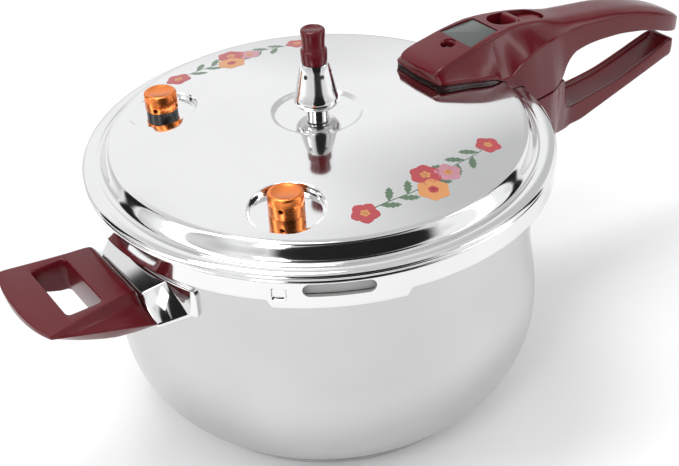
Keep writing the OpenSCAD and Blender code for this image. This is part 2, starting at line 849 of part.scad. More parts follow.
module weight_body() {
    bore = pipe_r + 0.15;
    chamber = [175.5, 190];
    hole_z = 188;
    color("silver")
        difference() {
            rotate_extrude()
                polygon(concat(
                    [[0, weight_z[0]], [6.4, weight_z[0]]],
                    smooth([[8.6, 168.2], [10.8, 169.7], [weight_r[0], 172.2], [11.2, 175.4]], 3),
                    [[weight_r[1], weight_z[1]], [0, weight_z[1]]]));
            rod(bore, under_lid, chamber[0] + 0.5);
            rod(5, chamber[0], chamber[1]);
            rod(needle_r, under_lid, weight_z[1] + 1);
            for (k = [0:5])
                rotate([0, 0, 60 * k + 22])
                    translate([0, 0, hole_z]) rotate([0, 90, 0]) cylinder(r = 1.15, h = 20);
        }
}

module weight_needle() {
    color("lightgray") {
        rod(needle_r, needle_tip[1], weight_z[1]);
        translate([0, 0, needle_tip[0]])
            cylinder(r1 = 0.7, r2 = needle_r, h = needle_tip[1] - needle_tip[0]);
    }
}

module weight_knob() {
    z0 = weight_z[1];
    color("maroon")
        rotate_extrude()
            polygon(concat(
                [[0, z0], [6.8, z0], [6.9, z0 + 6.6]],
                smooth([[6.1, z0 + 7.5], [5.8, z0 + 9.4], [6.2, z0 + 14], [6.4, z0 + 16.4], [6.1, z0 + 17.8],
                    [5.2, weight_top]], 3),
                [[0, weight_top]]));
}

// ---- safety valves ----------------------------------------------------------------------------

cap_h = 11.5;
collar_h = 3.4;
seat_r = 4.8;
seat_bore = 1.8;
seat_top = valve_floor + 6.5;
plunger_z = valve_floor + 4;
plunger_t = 1.2;
plunger_stem = 2;
plunger_top = plunger_z + plunger_t + plunger_stem;
spring_end = plunger_top + plunger_lift + 0.6;
washer_t = 1.5;

module valve_cap(lift) {
    r = cap_d / 2;
    z0 = valve_floor + lift;
    z1 = z0 + cap_h - lift / 2;
    color("chocolate")
        difference() {
            rotate_extrude()
                polygon([[0, z0], [r, z0], [r, z1 - 1.2], [r - 0.4, z1 - 0.4], [r - 1.2, z1], [0, z1]]);
            rod(6.2, under_lid, valve_floor + 2.4);
            rod(seat_r, under_lid, seat_top);
            rod(3.6, under_lid, spring_end);
            for (k = [0:3])
                rotate([0, 0, 90 * k + 40])
                    translate([0, 0, valve_floor + 5.2]) rotate([0, 90, 0]) cylinder(r = 1.1, h = 20);
        }
}

module valve_seat() {
    color("silver")
        difference() {
            union() {
                rod(6, valve_floor, valve_floor + 2);
                rod(seat_r, valve_floor - 9, plunger_z);
            }
            rod(seat_bore, below, above);
        }
}

module valve_washer() {
    color("black") tube(seat_r, 9, valve_floor - wall - washer_t, valve_floor - wall);
}

module valve_nut() {
    z1 = valve_floor - wall - washer_t;
    color("silver")
        difference() {
            hexagon(14, z1 - 3.5, z1);
            rod(seat_r, below, above);
        }
}

module valve_plunger() {
    color("lightgray") {
        rod(3.3, plunger_z, plunger_z + plunger_t);
        rod(1.3, valve_floor + 1, plunger_z);
        rod(1.5, plunger_z + plunger_t, plunger_top);
    }
}

module valve_spring() {
    color("gray") spring(2.6, 0.6, plunger_z + plunger_t, spring_end);
}

module valve_collar() {
    r = cap_d / 2;
    color("#1c1a1a") tube(6.2, r - 0.4, valve_floor, valve_floor + collar_h);
}

// ---- nodes ------------------------------------------------------------------------------------

pot_body();
base_core();
base_cap();
helper_bracket();
helper_handle();
helper_screw();
pot_handle_bracket();
pot_handle();
pot_handle_screw();
gasket();
lid_shell();
lid_bracket();
lid_handle_base();
lid_handle();
lid_handle_screw();
window_plate();
lock_slider();
lock_bolt();
indicator_pin();
indicator_seal();
indicator_spring();
vent_pipe();
vent_nut();
vent_washer();
vent_strainer();
weight_body();
weight_knob();
weight_needle();
at_valve(0) valve_cap(0);  // front_valve_cap
at_valve(0) valve_seat();  // front_valve_seat
at_valve(0) valve_plunger();  // front_valve_plunger
at_valve(0) valve_spring();  // front_valve_spring
at_valve(0) valve_nut();  // front_valve_nut
at_valve(0) valve_washer();  // front_valve_washer
at_valve(1) valve_cap(collar_h);  // left_valve_cap
at_valve(1) valve_collar();  // left_valve_collar
at_valve(1) valve_seat();  // left_valve_seat
at_valve(1) valve_plunger();  // left_valve_plunger
at_valve(1) valve_spring();  // left_valve_spring
at_valve(1) valve_nut();  // left_valve_nut
at_valve(1) valve_washer();  // left_valve_washer
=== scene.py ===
import json
import math

import bmesh
import bpy
import numpy as np
from mathutils import Matrix, Vector
from mathutils.geometry import delaunay_2d_cdt


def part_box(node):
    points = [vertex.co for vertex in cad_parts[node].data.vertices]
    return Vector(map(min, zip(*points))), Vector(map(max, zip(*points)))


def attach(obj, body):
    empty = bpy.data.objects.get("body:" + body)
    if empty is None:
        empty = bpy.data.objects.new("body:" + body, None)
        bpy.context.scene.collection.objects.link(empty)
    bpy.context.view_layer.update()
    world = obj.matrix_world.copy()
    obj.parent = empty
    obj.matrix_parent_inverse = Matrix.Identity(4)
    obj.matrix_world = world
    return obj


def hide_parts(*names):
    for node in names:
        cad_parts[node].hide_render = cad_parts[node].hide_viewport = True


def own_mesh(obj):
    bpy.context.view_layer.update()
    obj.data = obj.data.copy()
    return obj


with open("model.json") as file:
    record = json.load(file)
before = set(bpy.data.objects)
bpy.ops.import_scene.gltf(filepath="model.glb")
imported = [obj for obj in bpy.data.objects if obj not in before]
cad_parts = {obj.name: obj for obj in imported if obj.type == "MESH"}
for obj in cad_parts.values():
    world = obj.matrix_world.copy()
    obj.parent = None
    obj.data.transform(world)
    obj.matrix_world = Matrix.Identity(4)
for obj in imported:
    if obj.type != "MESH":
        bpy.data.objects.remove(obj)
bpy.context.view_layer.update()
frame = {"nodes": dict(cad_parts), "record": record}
MM = 0.001
NODES = frame["nodes"]

# ---- camera ----

ELEVATION = math.radians(34.6)
ROLL = math.radians(-2.87)
AZIMUTH = math.radians(33.4)
DISTANCE = 0.641
SENSOR = 36
LENS = 63.62297
# the target's place beside and above the view's middle, as shares of the distance
OFFSET = (-0.0171667, 0.0780833)
TARGET = Vector((0, 0, 0.1474))


def make_camera():
    cam = bpy.data.objects.new("camera", bpy.data.cameras.new("camera"))
    bpy.context.scene.collection.objects.link(cam)
    cam.data.sensor_width = SENSOR
    cam.data.lens = LENS
    cam.data.clip_start = 0.02
    cam.data.clip_end = 20
    right0 = Vector((1, 0, 0))
    up0 = Vector((0, math.sin(ELEVATION), math.cos(ELEVATION)))
    forward = Vector((0, math.cos(ELEVATION), -math.sin(ELEVATION)))
    right = right0 * math.cos(ROLL) + up0 * math.sin(ROLL)
    up = up0 * math.cos(ROLL) - right0 * math.sin(ROLL)
    place = -(right * OFFSET[0] + up * OFFSET[1] + forward) * DISTANCE
    turn = Matrix.Rotation(-AZIMUTH, 3, "Z")
    axes = Matrix((turn @ right, turn @ up, turn @ -forward)).transposed()
    cam.matrix_world = Matrix.Translation(TARGET + turn @ place) @ axes.to_4x4()
    bpy.context.scene.camera = cam


make_camera()

# ---- curves ----


def smooth(points, n):
    """A Catmull-Rom curve through points, n steps between neighbours."""
    p = np.asarray(points, float)
    out = []
    last = len(p) - 1
    for i in range(last):
        a, b, c, d = p[max(i - 1, 0)], p[i], p[i + 1], p[min(i + 2, last)]
        for k in range(n):
            t = k / n
            bend, twist = 2 * a - 5 * b + 4 * c - d, 3 * b - a - 3 * c + d
            out.append(0.5 * (2 * b + (c - a) * t + bend * t * t + twist * t**3))
    out.append(p[last])
    return np.array(out)


def ease(xs, ys, at):
    """A smooth curve without overshoot through (xs, ys), read at the given places."""
    xs, ys, at = (np.asarray(v, float) for v in (xs, ys, at))
    h = np.diff(xs)
    d = np.diff(ys) / h
    m = np.zeros(len(ys))
    m[0], m[-1] = d[0], d[-1]
    for i in range(1, len(ys) - 1):
        if d[i - 1] * d[i] > 0:
            w1, w2 = 2 * h[i] + h[i - 1], h[i] + 2 * h[i - 1]
            m[i] = (w1 + w2) / (w1 / d[i - 1] + w2 / d[i])
    k = np.clip(np.searchsorted(xs, at, "right") - 1, 0, len(h) - 1)
    t = (at - xs[k]) / h[k]
    start = (2 * t**3 - 3 * t**2 + 1) * ys[k] + (t**3 - 2 * t**2 + t) * h[k] * m[k]
    return start + (3 * t**2 - 2 * t**3) * ys[k + 1] + (t**3 - t**2) * h[k] * m[k + 1]


def table(stations, at):
    """Every column of a table of stations, read along its first column."""
    rows = np.array(stations, float)
    return np.array([ease(rows[:, 0], rows[:, k], at) for k in range(1, rows.shape[1])]).T


def along(points, x):
    """One value of the smooth curve through points (x, value)."""
    xs, ys = zip(*points)
    return float(ease(xs, ys, [x])[0])


def places(*parts):
    """Numbers and lists of numbers as one sorted list without repeats."""
    return np.unique(np.concatenate([np.atleast_1d(part) for part in parts]))


def ramp3(t):
    """A soft step from 0 to 1."""
    t = np.clip(t, 0, 1)
    return t * t * (3 - 2 * t)


def polar(r, degrees):
    return (r * math.cos(math.radians(degrees)), r * math.sin(math.radians(degrees)))


def rounded(points, radii, n):
    """An open line through points with its inner corners rounded, always with the same count."""
    p = [np.asarray(q, float) for q in points]
    out = [p[0]]
    for i in range(1, len(p) - 1):
        a, c, b = p[i - 1], p[i], p[i + 1]
        la, lb = np.linalg.norm(a - c), np.linalg.norm(b - c)
        ta, tb = min(radii[i - 1], 0.48 * la), min(radii[i - 1], 0.48 * lb)
        start, end = c + (a - c) / max(la, 1e-9) * ta, c + (b - c) / max(lb, 1e-9) * tb
        for s in np.linspace(0, 1, n + 1):
            out.append((1 - s) ** 2 * start + 2 * s * (1 - s) * c + s * s * end)
    out.append(p[-1])
    return np.array(out)


# ---- meshes ----

WELD = 1e-6


def new_object(name, verts, faces):
    mesh = bpy.data.meshes.new(name)
    mesh.from_pydata([tuple(v * MM) for v in np.asarray(verts, float)], [], faces)
    obj = bpy.data.objects.new(name, mesh)
    bpy.context.scene.collection.objects.link(obj)
    return obj


def clean(obj, degrees=35):
    """Welds, makes normals point out, and shades smooth with sharp edges above an angle."""
    bm = bmesh.new()
    bm.from_mesh(obj.data)
    bmesh.ops.remove_doubles(bm, verts=bm.verts, dist=WELD)
    bmesh.ops.dissolve_degenerate(bm, edges=bm.edges, dist=WELD)
    bmesh.ops.recalc_face_normals(bm, faces=bm.faces)
    limit = math.radians(degrees)
    for face in bm.faces:
        face.smooth = True
    for edge in bm.edges:
        edge.smooth = len(edge.link_faces) == 2 and edge.calc_face_angle(0) < limit
    bm.to_mesh(obj.data)
    bm.free()
    obj.data.update()
    return obj


def band(count, n, start=0):
    """Faces between count rings of n points that are listed one after another."""
    faces = []
    for p in range(start, start + (count - 1) * n, n):
        for i in range(n):
            j = (i + 1) % n
            faces.append((p + i, p + j, p + n + j, p + n + i))
    return faces


def rings(name, loops):
    """A skin over closed rings that all have the same count, capped at both ends."""
    n = len(loops[0])
    verts = np.concatenate([np.asarray(r, float) for r in loops])
    faces = band(len(loops), n)
    faces.append(tuple(reversed(range(n))))
    faces.append(tuple((len(loops) - 1) * n + i for i in range(n)))
    return new_object(name, verts, faces)


def lathe(name, profile, n=160):
    """Turns a profile of (radius, z) about Z."""
    angles = np.arange(n) * 2 * math.pi / n
    verts = [(r * math.cos(a), r * math.sin(a), z) for r, z in profile for a in angles]
    return new_object(name, verts, band(len(profile), n))


def bore(steps, n=48, x=0, y=0):
    """A turned cutter on an upright axis, from steps of (radius, z) listed upward."""
    profile = [(0, steps[0][1])] + steps + [(0, steps[-1][1])]
    return moved(lathe("bore", profile, n), x, y)


def vents(steps, count, first, z):
    """Small cutters that point outward round Z, from the same kind of steps."""
    made = []
    for k in range(count):
        hole = bore(steps, 20)
        hole.data.transform(Matrix.Rotation(math.pi / 2, 4, "Y"))
        hole.data.transform(Matrix.Rotation(math.radians(360 / count * k + first), 4, "Z"))
        made.append(moved(hole, z=z))
    return made


def moved(obj, x=0.0, y=0.0, z=0.0):
    obj.data.transform(Matrix.Translation(Vector((x, y, z)) * MM))
    return obj


def prism(name, outline, levels):
    """A prism whose outline(grow) is drawn at each level (z, grow)."""
    return rings(name, [[(x, y, z) for x, y in outline(grow)] for z, grow in levels])


def stadium(x0, x1, r, n=16):
    """A closed outline with round ends that can grow outward."""

    def outline(grow):
        g = r + grow
        pts = []
        for middle, first in ((x1 - r, -math.pi / 2), (x0 + r, math.pi / 2)):
            for k in range(n + 1):
                a = first + math.pi * k / n
                pts.append((middle + g * math.cos(a), g * math.sin(a)))
        return pts

    return outline


def soft_polygon(corners, r, n=6):
    """A closed outline with rounded corners that can grow outward."""
    c = [np.array(q, float) for q in corners]
    centre = sum(c) / len(c)

    def outline(grow):
        pts = []
        big = [q + (q - centre) / np.linalg.norm(q - centre) * grow * 1.3 for q in c]
        for i, q in enumerate(big):
            a, b = big[i - 1], big[(i + 1) % len(big)]
            u, v = (a - q) / np.linalg.norm(a - q), (b - q) / np.linalg.norm(b - q)
            for s in np.linspace(0, 1, n + 1):
                start, end = q + u * r, q + v * r
                pts.append(tuple((1 - s) ** 2 * start + 2 * s * (1 - s) * q + s * s * end))
        return pts

    return outline


def cut(obj, cutters, operation="DIFFERENCE"):
    for cutter in cutters:
        clean(cutter)
        mod = obj.modifiers.new("cut", "BOOLEAN")
        mod.operation = operation
        mod.solver = "EXACT"
        mod.object = cutter
    deps = bpy.context.evaluated_depsgraph_get()
    mesh = bpy.data.meshes.new_from_object(obj.evaluated_get(deps))
    obj.modifiers.clear()
    obj.data = mesh
    for cutter in cutters:
        bpy.data.objects.remove(cutter)
    return obj


def mirror_ring(x, half):
    """A full ring from the half with y >= 0, listed from the bottom centre to the top centre."""
    half = np.asarray(half, float)
    other = half[::-1][1:-1] * (-1, 1)
    return np.array([(x, y, z) for y, z in np.concatenate([half, other])])


# ---- materials ----


class Paint:
    """A node material under construction."""

    def __init__(self, name):
        self.mat = bpy.data.materials.new(name)
        self.mat.use_nodes = True
        self.tree = self.mat.node_tree
        self.bsdf = self.tree.nodes["Principled BSDF"]
        self.coord = self.node("ShaderNodeTexCoord").outputs["Object"]

    def node(self, kind, **values):
        made = self.tree.nodes.new(kind)
        for key, value in values.items():
            setattr(made, key, value)
        return made

    def link(self, a, b):
        self.tree.links.new(a, b)

    def set(self, **values):
        for key, value in values.items():
            self.bsdf.inputs[key.replace("_", " ")].default_value = value
        return self

    def scaled(self, scale):
        mapping = self.node("ShaderNodeMapping")
        mapping.inputs["Scale"].default_value = scale
        self.link(self.coord, mapping.inputs["Vector"])
        return mapping.outputs["Vector"]

    def noise(self, scale, detail, roughness, vector=None):
        made = self.node("ShaderNodeTexNoise")
        made.inputs["Scale"].default_value = scale
        made.inputs["Detail"].default_value = detail
        made.inputs["Roughness"].default_value = roughness
        self.link(vector or self.coord, made.inputs["Vector"])
        return made.outputs["Fac"]

    def spread(self, value, low, high, out_low, out_high):
        made = self.node("ShaderNodeMapRange")
        ends = {"From Min": low, "From Max": high, "To Min": out_low, "To Max": out_high}
        for socket, end in ends.items():
            made.inputs[socket].default_value = end
        self.link(value, made.inputs["Value"])
        return made.outputs["Result"]

    def ramp(self, value, colours):
        made = self.node("ShaderNodeValToRGB")
        elements = made.color_ramp.elements
        while len(elements) < len(colours):
            elements.new(0.5)
        for element, (at, colour) in zip(elements, colours):
            element.position = at
            element.color = (*colour, 1)
        self.link(value, made.inputs["Fac"])
        return made.outputs["Color"]

    def bump(self, value, strength, distance):
        made = self.node("ShaderNodeBump")
        made.inputs["Strength"].default_value = strength
        made.inputs["Distance"].default_value = distance
        self.link(value, made.inputs["Height"])
        self.link(made.outputs["Normal"], self.bsdf.inputs["Normal"])
        return self

    def into(self, value, socket):
        self.link(value, self.bsdf.inputs[socket])


def shade(p, cloud, dark, light, gloss, low, high, upto=0.7):
    """Shades the colour from dark to light by one noise, and the roughness by another."""
    if not isinstance(dark, tuple):
        dark = tuple(c * dark for c in light)
    p.into(p.ramp(cloud, [(0.3, dark), (upto, light)]), "Base Color")
    p.into(p.spread(gloss, 0.25, 0.75, low, high), "Roughness")


def brushed(name, base, rough, strength):
    """Steel with fine level lines, faint stains and a slight change of shade."""
    p = Paint(name).set(Metallic=1.0)
    grain = p.noise(1.0, 4.0, 0.65, p.scaled((3, 3, 900)))
    shade(p, p.noise(14.0, 3.0, 0.55), 0.93, base, grain, rough * 0.78, rough * 1.25)
    return p.bump(grain, strength, 0.00006).mat


def polished(name, base, rough):
    """Mirror steel with a breath of haze and very slight waviness."""
    p = Paint(name).set(Metallic=1.0)
    haze = p.noise(22.0, 4.0, 0.6)
    shade(p, haze, 0.97, base, haze, rough * 0.8, rough * 1.3)
    return p.bump(p.noise(9.0, 1.0, 0.4), 0.04, 0.0006).mat


def plastic(name, base, rough, coat, spec=0.5):
    """Moulded plastic: slight flow shading, an uneven gloss and a faint orange peel."""
    p = Paint(name).set(Coat_Weight=coat, Coat_Roughness=0.06, Specular_IOR_Level=spec)
    flow = p.noise(30.0, 4.0, 0.6)
    shade(p, flow, 0.82, base, flow, rough * 0.8, rough * 1.3, 0.72)
    return p.bump(p.noise(900.0, 2.0, 0.5), 0.1, 0.00002).mat


def rubbery(name, base):
    """Dull grey rubber with a fine grain."""
    p = Paint(name).set(Specular_IOR_Level=0.35)
    fine = p.noise(700.0, 3.0, 0.6)
    dark = tuple(c * 0.85 for c in base)
    p.into(p.ramp(p.noise(25.0, 3.0, 0.5), [(0.3, dark), (0.7, base)]), "Base Color")
    p.into(p.spread(fine, 0.2, 0.8, 0.5, 0.7), "Roughness")
    return p.bump(fine, 0.2, 0.00004).mat


def satin():
    """The pot's turned finish: lines round the axis that draw every reflection into tall bands."""
    p = Paint("steel_satin")
    p.set(Metallic=1.0, Anisotropic=0.75, Anisotropic_Rotation=0.25)
    around = p.node("ShaderNodeTangent", direction_type="RADIAL", axis="Z")
    p.link(around.outputs["Tangent"], p.bsdf.inputs["Tangent"])
    grain = p.noise(1.0, 4.0, 0.65, p.scaled((3, 3, 1100)))
    shade(p, p.noise(12.0, 3.0, 0.55), (0.57, 0.565, 0.56), (0.61, 0.605, 0.60), grain, 0.19, 0.25)
    return p.bump(grain, 0.02, 0.00002).mat


def anodised():
    """The valve caps' copper-coloured turned aluminium."""
    p = Paint("anodised_cap").set(Metallic=1.0)
    grain = p.noise(1.0, 4.0, 0.6, p.scaled((60, 60, 2500)))
    shade(p, p.noise(60.0, 3.0, 0.5), (0.80, 0.22, 0.055), (0.88, 0.26, 0.07), grain, 0.2, 0.34)
    return p.bump(grain, 0.12, 0.00005).mat


MADE = [
    satin(),
    polished("steel_mirror", (0.80, 0.80, 0.795), 0.075),
    brushed("aluminium_core", (0.80, 0.80, 0.80), 0.40, 0.1),
    plastic("handle_maroon", (0.112, 0.006, 0.010), 0.21, 0.08, spec=0.27),
    plastic("handle_dark", (0.035, 0.010, 0.012), 0.26, 0.2),
    plastic("slider_red", (0.135, 0.010, 0.014), 0.18, 0.1),
    plastic("plate_grey", (0.075, 0.088, 0.080), 0.22, 0.2),
    rubbery("seal_rubber", (0.42, 0.42, 0.41)),
    plastic("black_plastic", (0.018, 0.016, 0.016), 0.3, 0.1),
    anodised(),
    brushed("screw_steel", (0.55, 0.55, 0.54), 0.32, 0.1),
    brushed("spring_steel", (0.6, 0.6, 0.6), 0.3, 0.1),
    plastic("print_green", (0.085, 0.15, 0.085), 0.35, 0.35),
    plastic("print_red", (0.42, 0.035, 0.045), 0.35, 0.35),
    plastic("print_orange", (0.62, 0.26, 0.08), 0.35, 0.35),
    plastic("print_pink", (0.50, 0.22, 0.27), 0.35, 0.35),
]
# the names of the loaded CAD materials are taken, so Blender may have added a number
MATS = {mat.name.split(".")[0]: mat for mat in MADE}

SLOT_OF = {s["node"]: s["material_slot"] for s in frame["record"]["subparts"]}
BODY_OF = {n: b for b, ns in frame["record"]["behaviour"]["bodies"].items() for n in ns}
for node_name, node_obj in NODES.items():
    node_obj.data.materials.clear()
    node_obj.data.materials.append(MATS[SLOT_OF[node_name]])


def piece(obj, node, slot=None, stands=True, degrees=35):
    """Finishes a piece: it takes the node's body and slot, and stands for the node."""
    clean(obj, degrees)
    slot = slot or SLOT_OF[node]
    obj.data.materials.clear()
    obj.data.materials.append(MATS[slot])
    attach(obj, BODY_OF[node])
    if stands:
        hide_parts(node)
    return obj


# ---- pot ----

WALL = 1.5
SCREW_R = 2.3
HEAD_R = 4.3
BASE_R = 94.0
BELLY_R = 118.5
NECK_R = 114.0
RIM_R = 121.5
PIN_X = 88.0
RIM_Z = 137.8
LUG_Z = RIM_Z - 3.6
BASE_H = 5.5
FLOOR_Z = BASE_H + WALL
OPEN_TURN = 38.0
LOBE = 30.0
NOTCH = LOBE + 4

POT_WALL_POINTS = [
    (BASE_R, BASE_H), (BASE_R + 3.6, BASE_H + 2), (BASE_R + 8, BASE_H + 6),
    (BASE_R + 16, BASE_H + 15.5), (BELLY_R - 3.3, BASE_H + 26.5), (BELLY_R - 0.6, BASE_H + 38),
    (BELLY_R, BASE_H + 49.5), (BELLY_R - 0.8, BASE_H + 61), (BELLY_R - 2.6, BASE_H + 73),
    (NECK_R + 0.4, BASE_H + 86), (NECK_R, BASE_H + 100), (NECK_R, LUG_Z - 1.2),
]
pot_wall = smooth(POT_WALL_POINTS, 6)


def inset(line, d):
    """The line moved sideways by d, to the left of its direction."""
    p = np.asarray(line, float)
    run = np.gradient(p, axis=0)
    run /= np.linalg.norm(run, axis=1)[:, None]
    return p + d * np.stack([-run[:, 1], run[:, 0]], 1)


pot_inner = inset(pot_wall, WALL)
pot_inner = pot_inner[(pot_inner[:, 1] > FLOOR_Z + 2.2) & (pot_inner[:, 1] < RIM_Z - 4)]
pot_floor = smooth([tuple(pot_inner[0]), (BASE_R + 1.2, FLOOR_Z + 0.8), (BASE_R - 3, FLOOR_Z)], 5)


def off_middle(angle, first):
    """Degrees from the nearest of three middles, 120 degrees apart."""
    return abs((angle - first + 60) % 120 - 60)


def notch_share(angle):
    """1 inside a rim notch, 0 outside, with a quick ramp at its ends."""
    return min(max((NOTCH / 2 - off_middle(angle, OPEN_TURN)) / 0.4 + 0.5, 0), 1)


def pot_angles():
    marks = list(np.arange(0, 360, 2.0))
    for k in range(3):
        for side in (-1, 1):
            edge = 120 * k + OPEN_TURN + side * NOTCH / 2
            marks += [(edge + d) % 360 for d in (-0.6, -0.2, 0.2, 0.6)]
    return sorted(set(round(m, 4) for m in marks))


def pot_profile(share):
    out = NECK_R + 0.75 + (RIM_R - NECK_R - 0.75) * (1 - share)
    lip = [
        (NECK_R + 0.35 * min(1, (out - NECK_R) / 2), LUG_Z - 0.35),
        (NECK_R + 0.6 + 0.6 * (1 - share), LUG_Z), (out - 0.7 * (1 - share) - 0.1, LUG_Z),
        (out - 0.1, LUG_Z + 0.3), (out, LUG_Z + 0.9), (out, RIM_Z - 1.1), (out - 0.15, RIM_Z - 0.5),
        (out - 0.5, RIM_Z - 0.12), (out - 0.9 * (1 - share) - 0.3, RIM_Z), (NECK_R - 0.3, RIM_Z),
        (NECK_R - 1.0, RIM_Z - 0.2), (NECK_R - WALL, RIM_Z - 1.0),
    ]
    return np.concatenate([pot_wall, lip, pot_inner[::-1], pot_floor])


def make_pot():
    angles = np.radians(pot_angles())
    n = len(angles)
    columns = [pot_profile(notch_share(math.degrees(a))) for a in angles]
    count = len(columns[0])
    verts = []
    for row in zip(*columns):
        verts += [(r * math.cos(a), r * math.sin(a), z) for a, (r, z) in zip(angles, row)]
    faces = band(count, n)
    # the floor inside and the underside close on the axis
    for row, z in ((count - 1, FLOOR_Z), (0, BASE_H)):
        previous = [row * n + i for i in range(n)]
        for r in (60, 25):
            start = len(verts)
            verts += [(r * math.cos(a), r * math.sin(a), z) for a in angles]
            now = list(range(start, start + n))
            faces += [(previous[i - 1], previous[i], now[i], now[i - 1]) for i in range(n)]
            previous = now
        verts.append((0, 0, z))
        tip = len(verts) - 1
        faces += [(previous[i - 1], previous[i], tip) for i in range(n)]
    piece(new_object("pot_shell", verts, faces), "pot_body")


make_pot()


def make_base():
    profile = [(r, 0) for r in (0, 30, 55, 75, 86)]
    edge = [(BASE_R - 3.2, 0), (BASE_R - 1.2, 0.25), (BASE_R - 0.25, 1.1), (BASE_R, 2.2)]
    profile += list(smooth(edge, 4))
    profile += [(BASE_R, 2.7), (BASE_R - 0.45, 2.95), (BASE_R - 0.5, 4.6), (BASE_R - 0.2, 5.0)]
    profile += [(BASE_R - 0.15, BASE_H), (60, BASE_H), (0, BASE_H)]
    piece(lathe("base_disc", profile, 180), "base_cap")


make_base()

# ---- lid ----

LID_R = 125.4
DOME_Z = 165.5
DOME_DROP = 8.5
SHOULDER_R = 111.0
CENTRE_R = 21.7
RECESS = 2.0
GAP_Z = 135.0
LOBE_Z = 131.0
VALVE_FLOOR = 158.0
VALVE_R = 86.0
VALVE_ANGLE = 134.0
VALVE_RECESS = 18.5
JOIN_R = 107.0


def dome(r):
    return DOME_Z - DOME_DROP * (r / SHOULDER_R) ** 2


VALVE_PLACES = [polar(VALVE_R, side * VALVE_ANGLE) for side in (-1, 1)]


def lid_height(x, y):
    """The lid's top surface inside its shoulder, with its pressed recesses."""
    r = np.hypot(x, y)
    z = dome(r)
    floor = DOME_Z - RECESS
    t = ramp3((r - CENTRE_R) / 3.6)
    z = np.where(r < CENTRE_R + 3.6, floor + (z - floor) * t, z)
    for vx, vy in VALVE_PLACES:
        d = np.hypot(x - vx, y - vy)
        t = ramp3((d - (VALVE_RECESS - 0.8)) / 1.5)
        low = np.minimum(VALVE_FLOOR, z)
        z = np.where(d < VALVE_RECESS + 0.7, low + (z - low) * t, z)
    return z


def lid_marks():
    """Angles, in degrees, of the columns of the lid's rim: closer together at lobe ends and dimple."""
    marks = list(np.arange(240) * 1.5)
    for k in range(3):
        for side in (-1, 1):
            marks += [120 * k + side * LOBE / 2 + d for d in (-0.65, -0.45, -0.2, 0.2, 0.45, 0.65)]
    marks += list(DIMPLE + np.linspace(-2.2, 2.2, 19))
    return np.unique(np.round(np.mod(marks, 360), 4))


DIMPLE = 240 - LOBE / 2 + 2.2
LID_MARKS = lid_marks()


def dome_points():
    """Points for the lid's top: rings about the axis, and rings about each recess's edge."""
    keep = []
    recess_edge = np.linspace(CENTRE_R - 0.3, CENTRE_R + 4.2, 9)
    for r in [0, 4, 8, 12, 16, 19.5, *recess_edge, *np.arange(29, JOIN_R - 1, 3.0)]:
        n = 1 if r == 0 else max(int(2 * math.pi * r / 2.6), 24)
        if CENTRE_R - 1 < r < CENTRE_R + 5:
            n = 120
        for a in np.arange(n) * 2 * math.pi / n:
            keep.append((r * math.cos(a), r * math.sin(a)))
    for v in VALVE_PLACES:
        keep = [q for q in keep if not -2.4 < math.dist(q, v) - VALVE_RECESS < 2.2]
    for vx, vy in VALVE_PLACES:
        for d in VALVE_RECESS + np.array([-1.7, *np.linspace(-0.9, 0.8, 8), 1.5]):
            for a in np.arange(128) * 2 * math.pi / 128:
                q = (vx + d * math.cos(a), vy + d * math.sin(a))
                if math.hypot(*q) < JOIN_R - 0.35:
                    keep.append(q)
    edge = [(JOIN_R * math.cos(a), JOIN_R * math.sin(a)) for a in np.radians(LID_MARKS)]
    return keep, edge


def dome_sheet():
    """The lid's top as flat points and triangles, before it is given its height."""
    inner, edge = dome_points()
    points = [Vector(q) for q in edge + inner]
    n = len(edge)
    found = delaunay_2d_cdt(points, [(i, (i + 1) % n) for i in range(n)], [], 1, 1e-4)
    flat = np.array([tuple(v) for v in found[0]])
    return flat, [tuple(f) for f in found[2]]


def lobe_share(angle):
    """1 on a low lobe of the skirt and 0 between the lobes."""
    return float(ramp3((LOBE / 2 - off_middle(angle, 0)) / 1.3 + 0.5))


RIM_PROFILE_POINTS = [
    (JOIN_R, dome(JOIN_R)), (108.3, dome(108.3)), (109.4, dome(109.4) - 0.08), (110.4, 156.85),
    (111.3, 155.95), (112.1, 154.8), (112.9, 153.4), (113.7, 151.95), (114.6, 150.6), (115.6, 149.7),
    (116.8, 149.35), (118.2, 149.75), (120.4, 149.98), (122.6, 149.7), (124.3, 149.0), (125.2, 148.2),
    (125.4, 147.7), (125.15, 147.2), (124.75, 146.8), (124.75, 146.3), (125.2, 145.9), (125.4, 145.3),
]
rim_profile = smooth(RIM_PROFILE_POINTS, 4)


def skirt_rows(low, angle):
    """The skirt below the groove: outside down, round the cut edge, and up the inside."""
    zs = np.linspace(144.4, low + 1.1, 24)
    rows = [(LID_R - dimple_push(angle, z), z) for z in zs]
    rows += [
        (LID_R - 0.06, low + 0.45), (LID_R - 0.3, low + 0.1), (LID_R - 0.75, low),
        (LID_R - 1.2, low + 0.1), (LID_R - WALL + 0.06, low + 0.45),
    ]
    rows += [(LID_R - WALL - dimple_push(angle, z), z) for z in zs[::-1]]
    return rows


under_profile = [
    (LID_R - WALL - 0.2, 146.6), (LID_R - WALL - 1.0, 147.5), (121.4, 148.3), (118.4, 148.25),
    (116.0, 147.85), (114.2, 148.1), (112.9, 149.4), (112.2, 151.2), (111.5, 153.4), (110.6, 155.0),
    (109.6, dome(109.6) - WALL - 0.1), (JOIN_R, dome(JOIN_R) - WALL),
]


def dimple_push(angle, z):
    """How far the dimple at one end of a lobe is pressed in, in millimetres."""
    across = math.radians(abs((angle - DIMPLE + 180) % 360 - 180)) * LID_R
    side = ramp3((3.9 - across) / 1.1)
    level = ramp3((3.2 - abs(z - 139.1)) / 1.1)
    return 1.2 * float(side) * float(level)


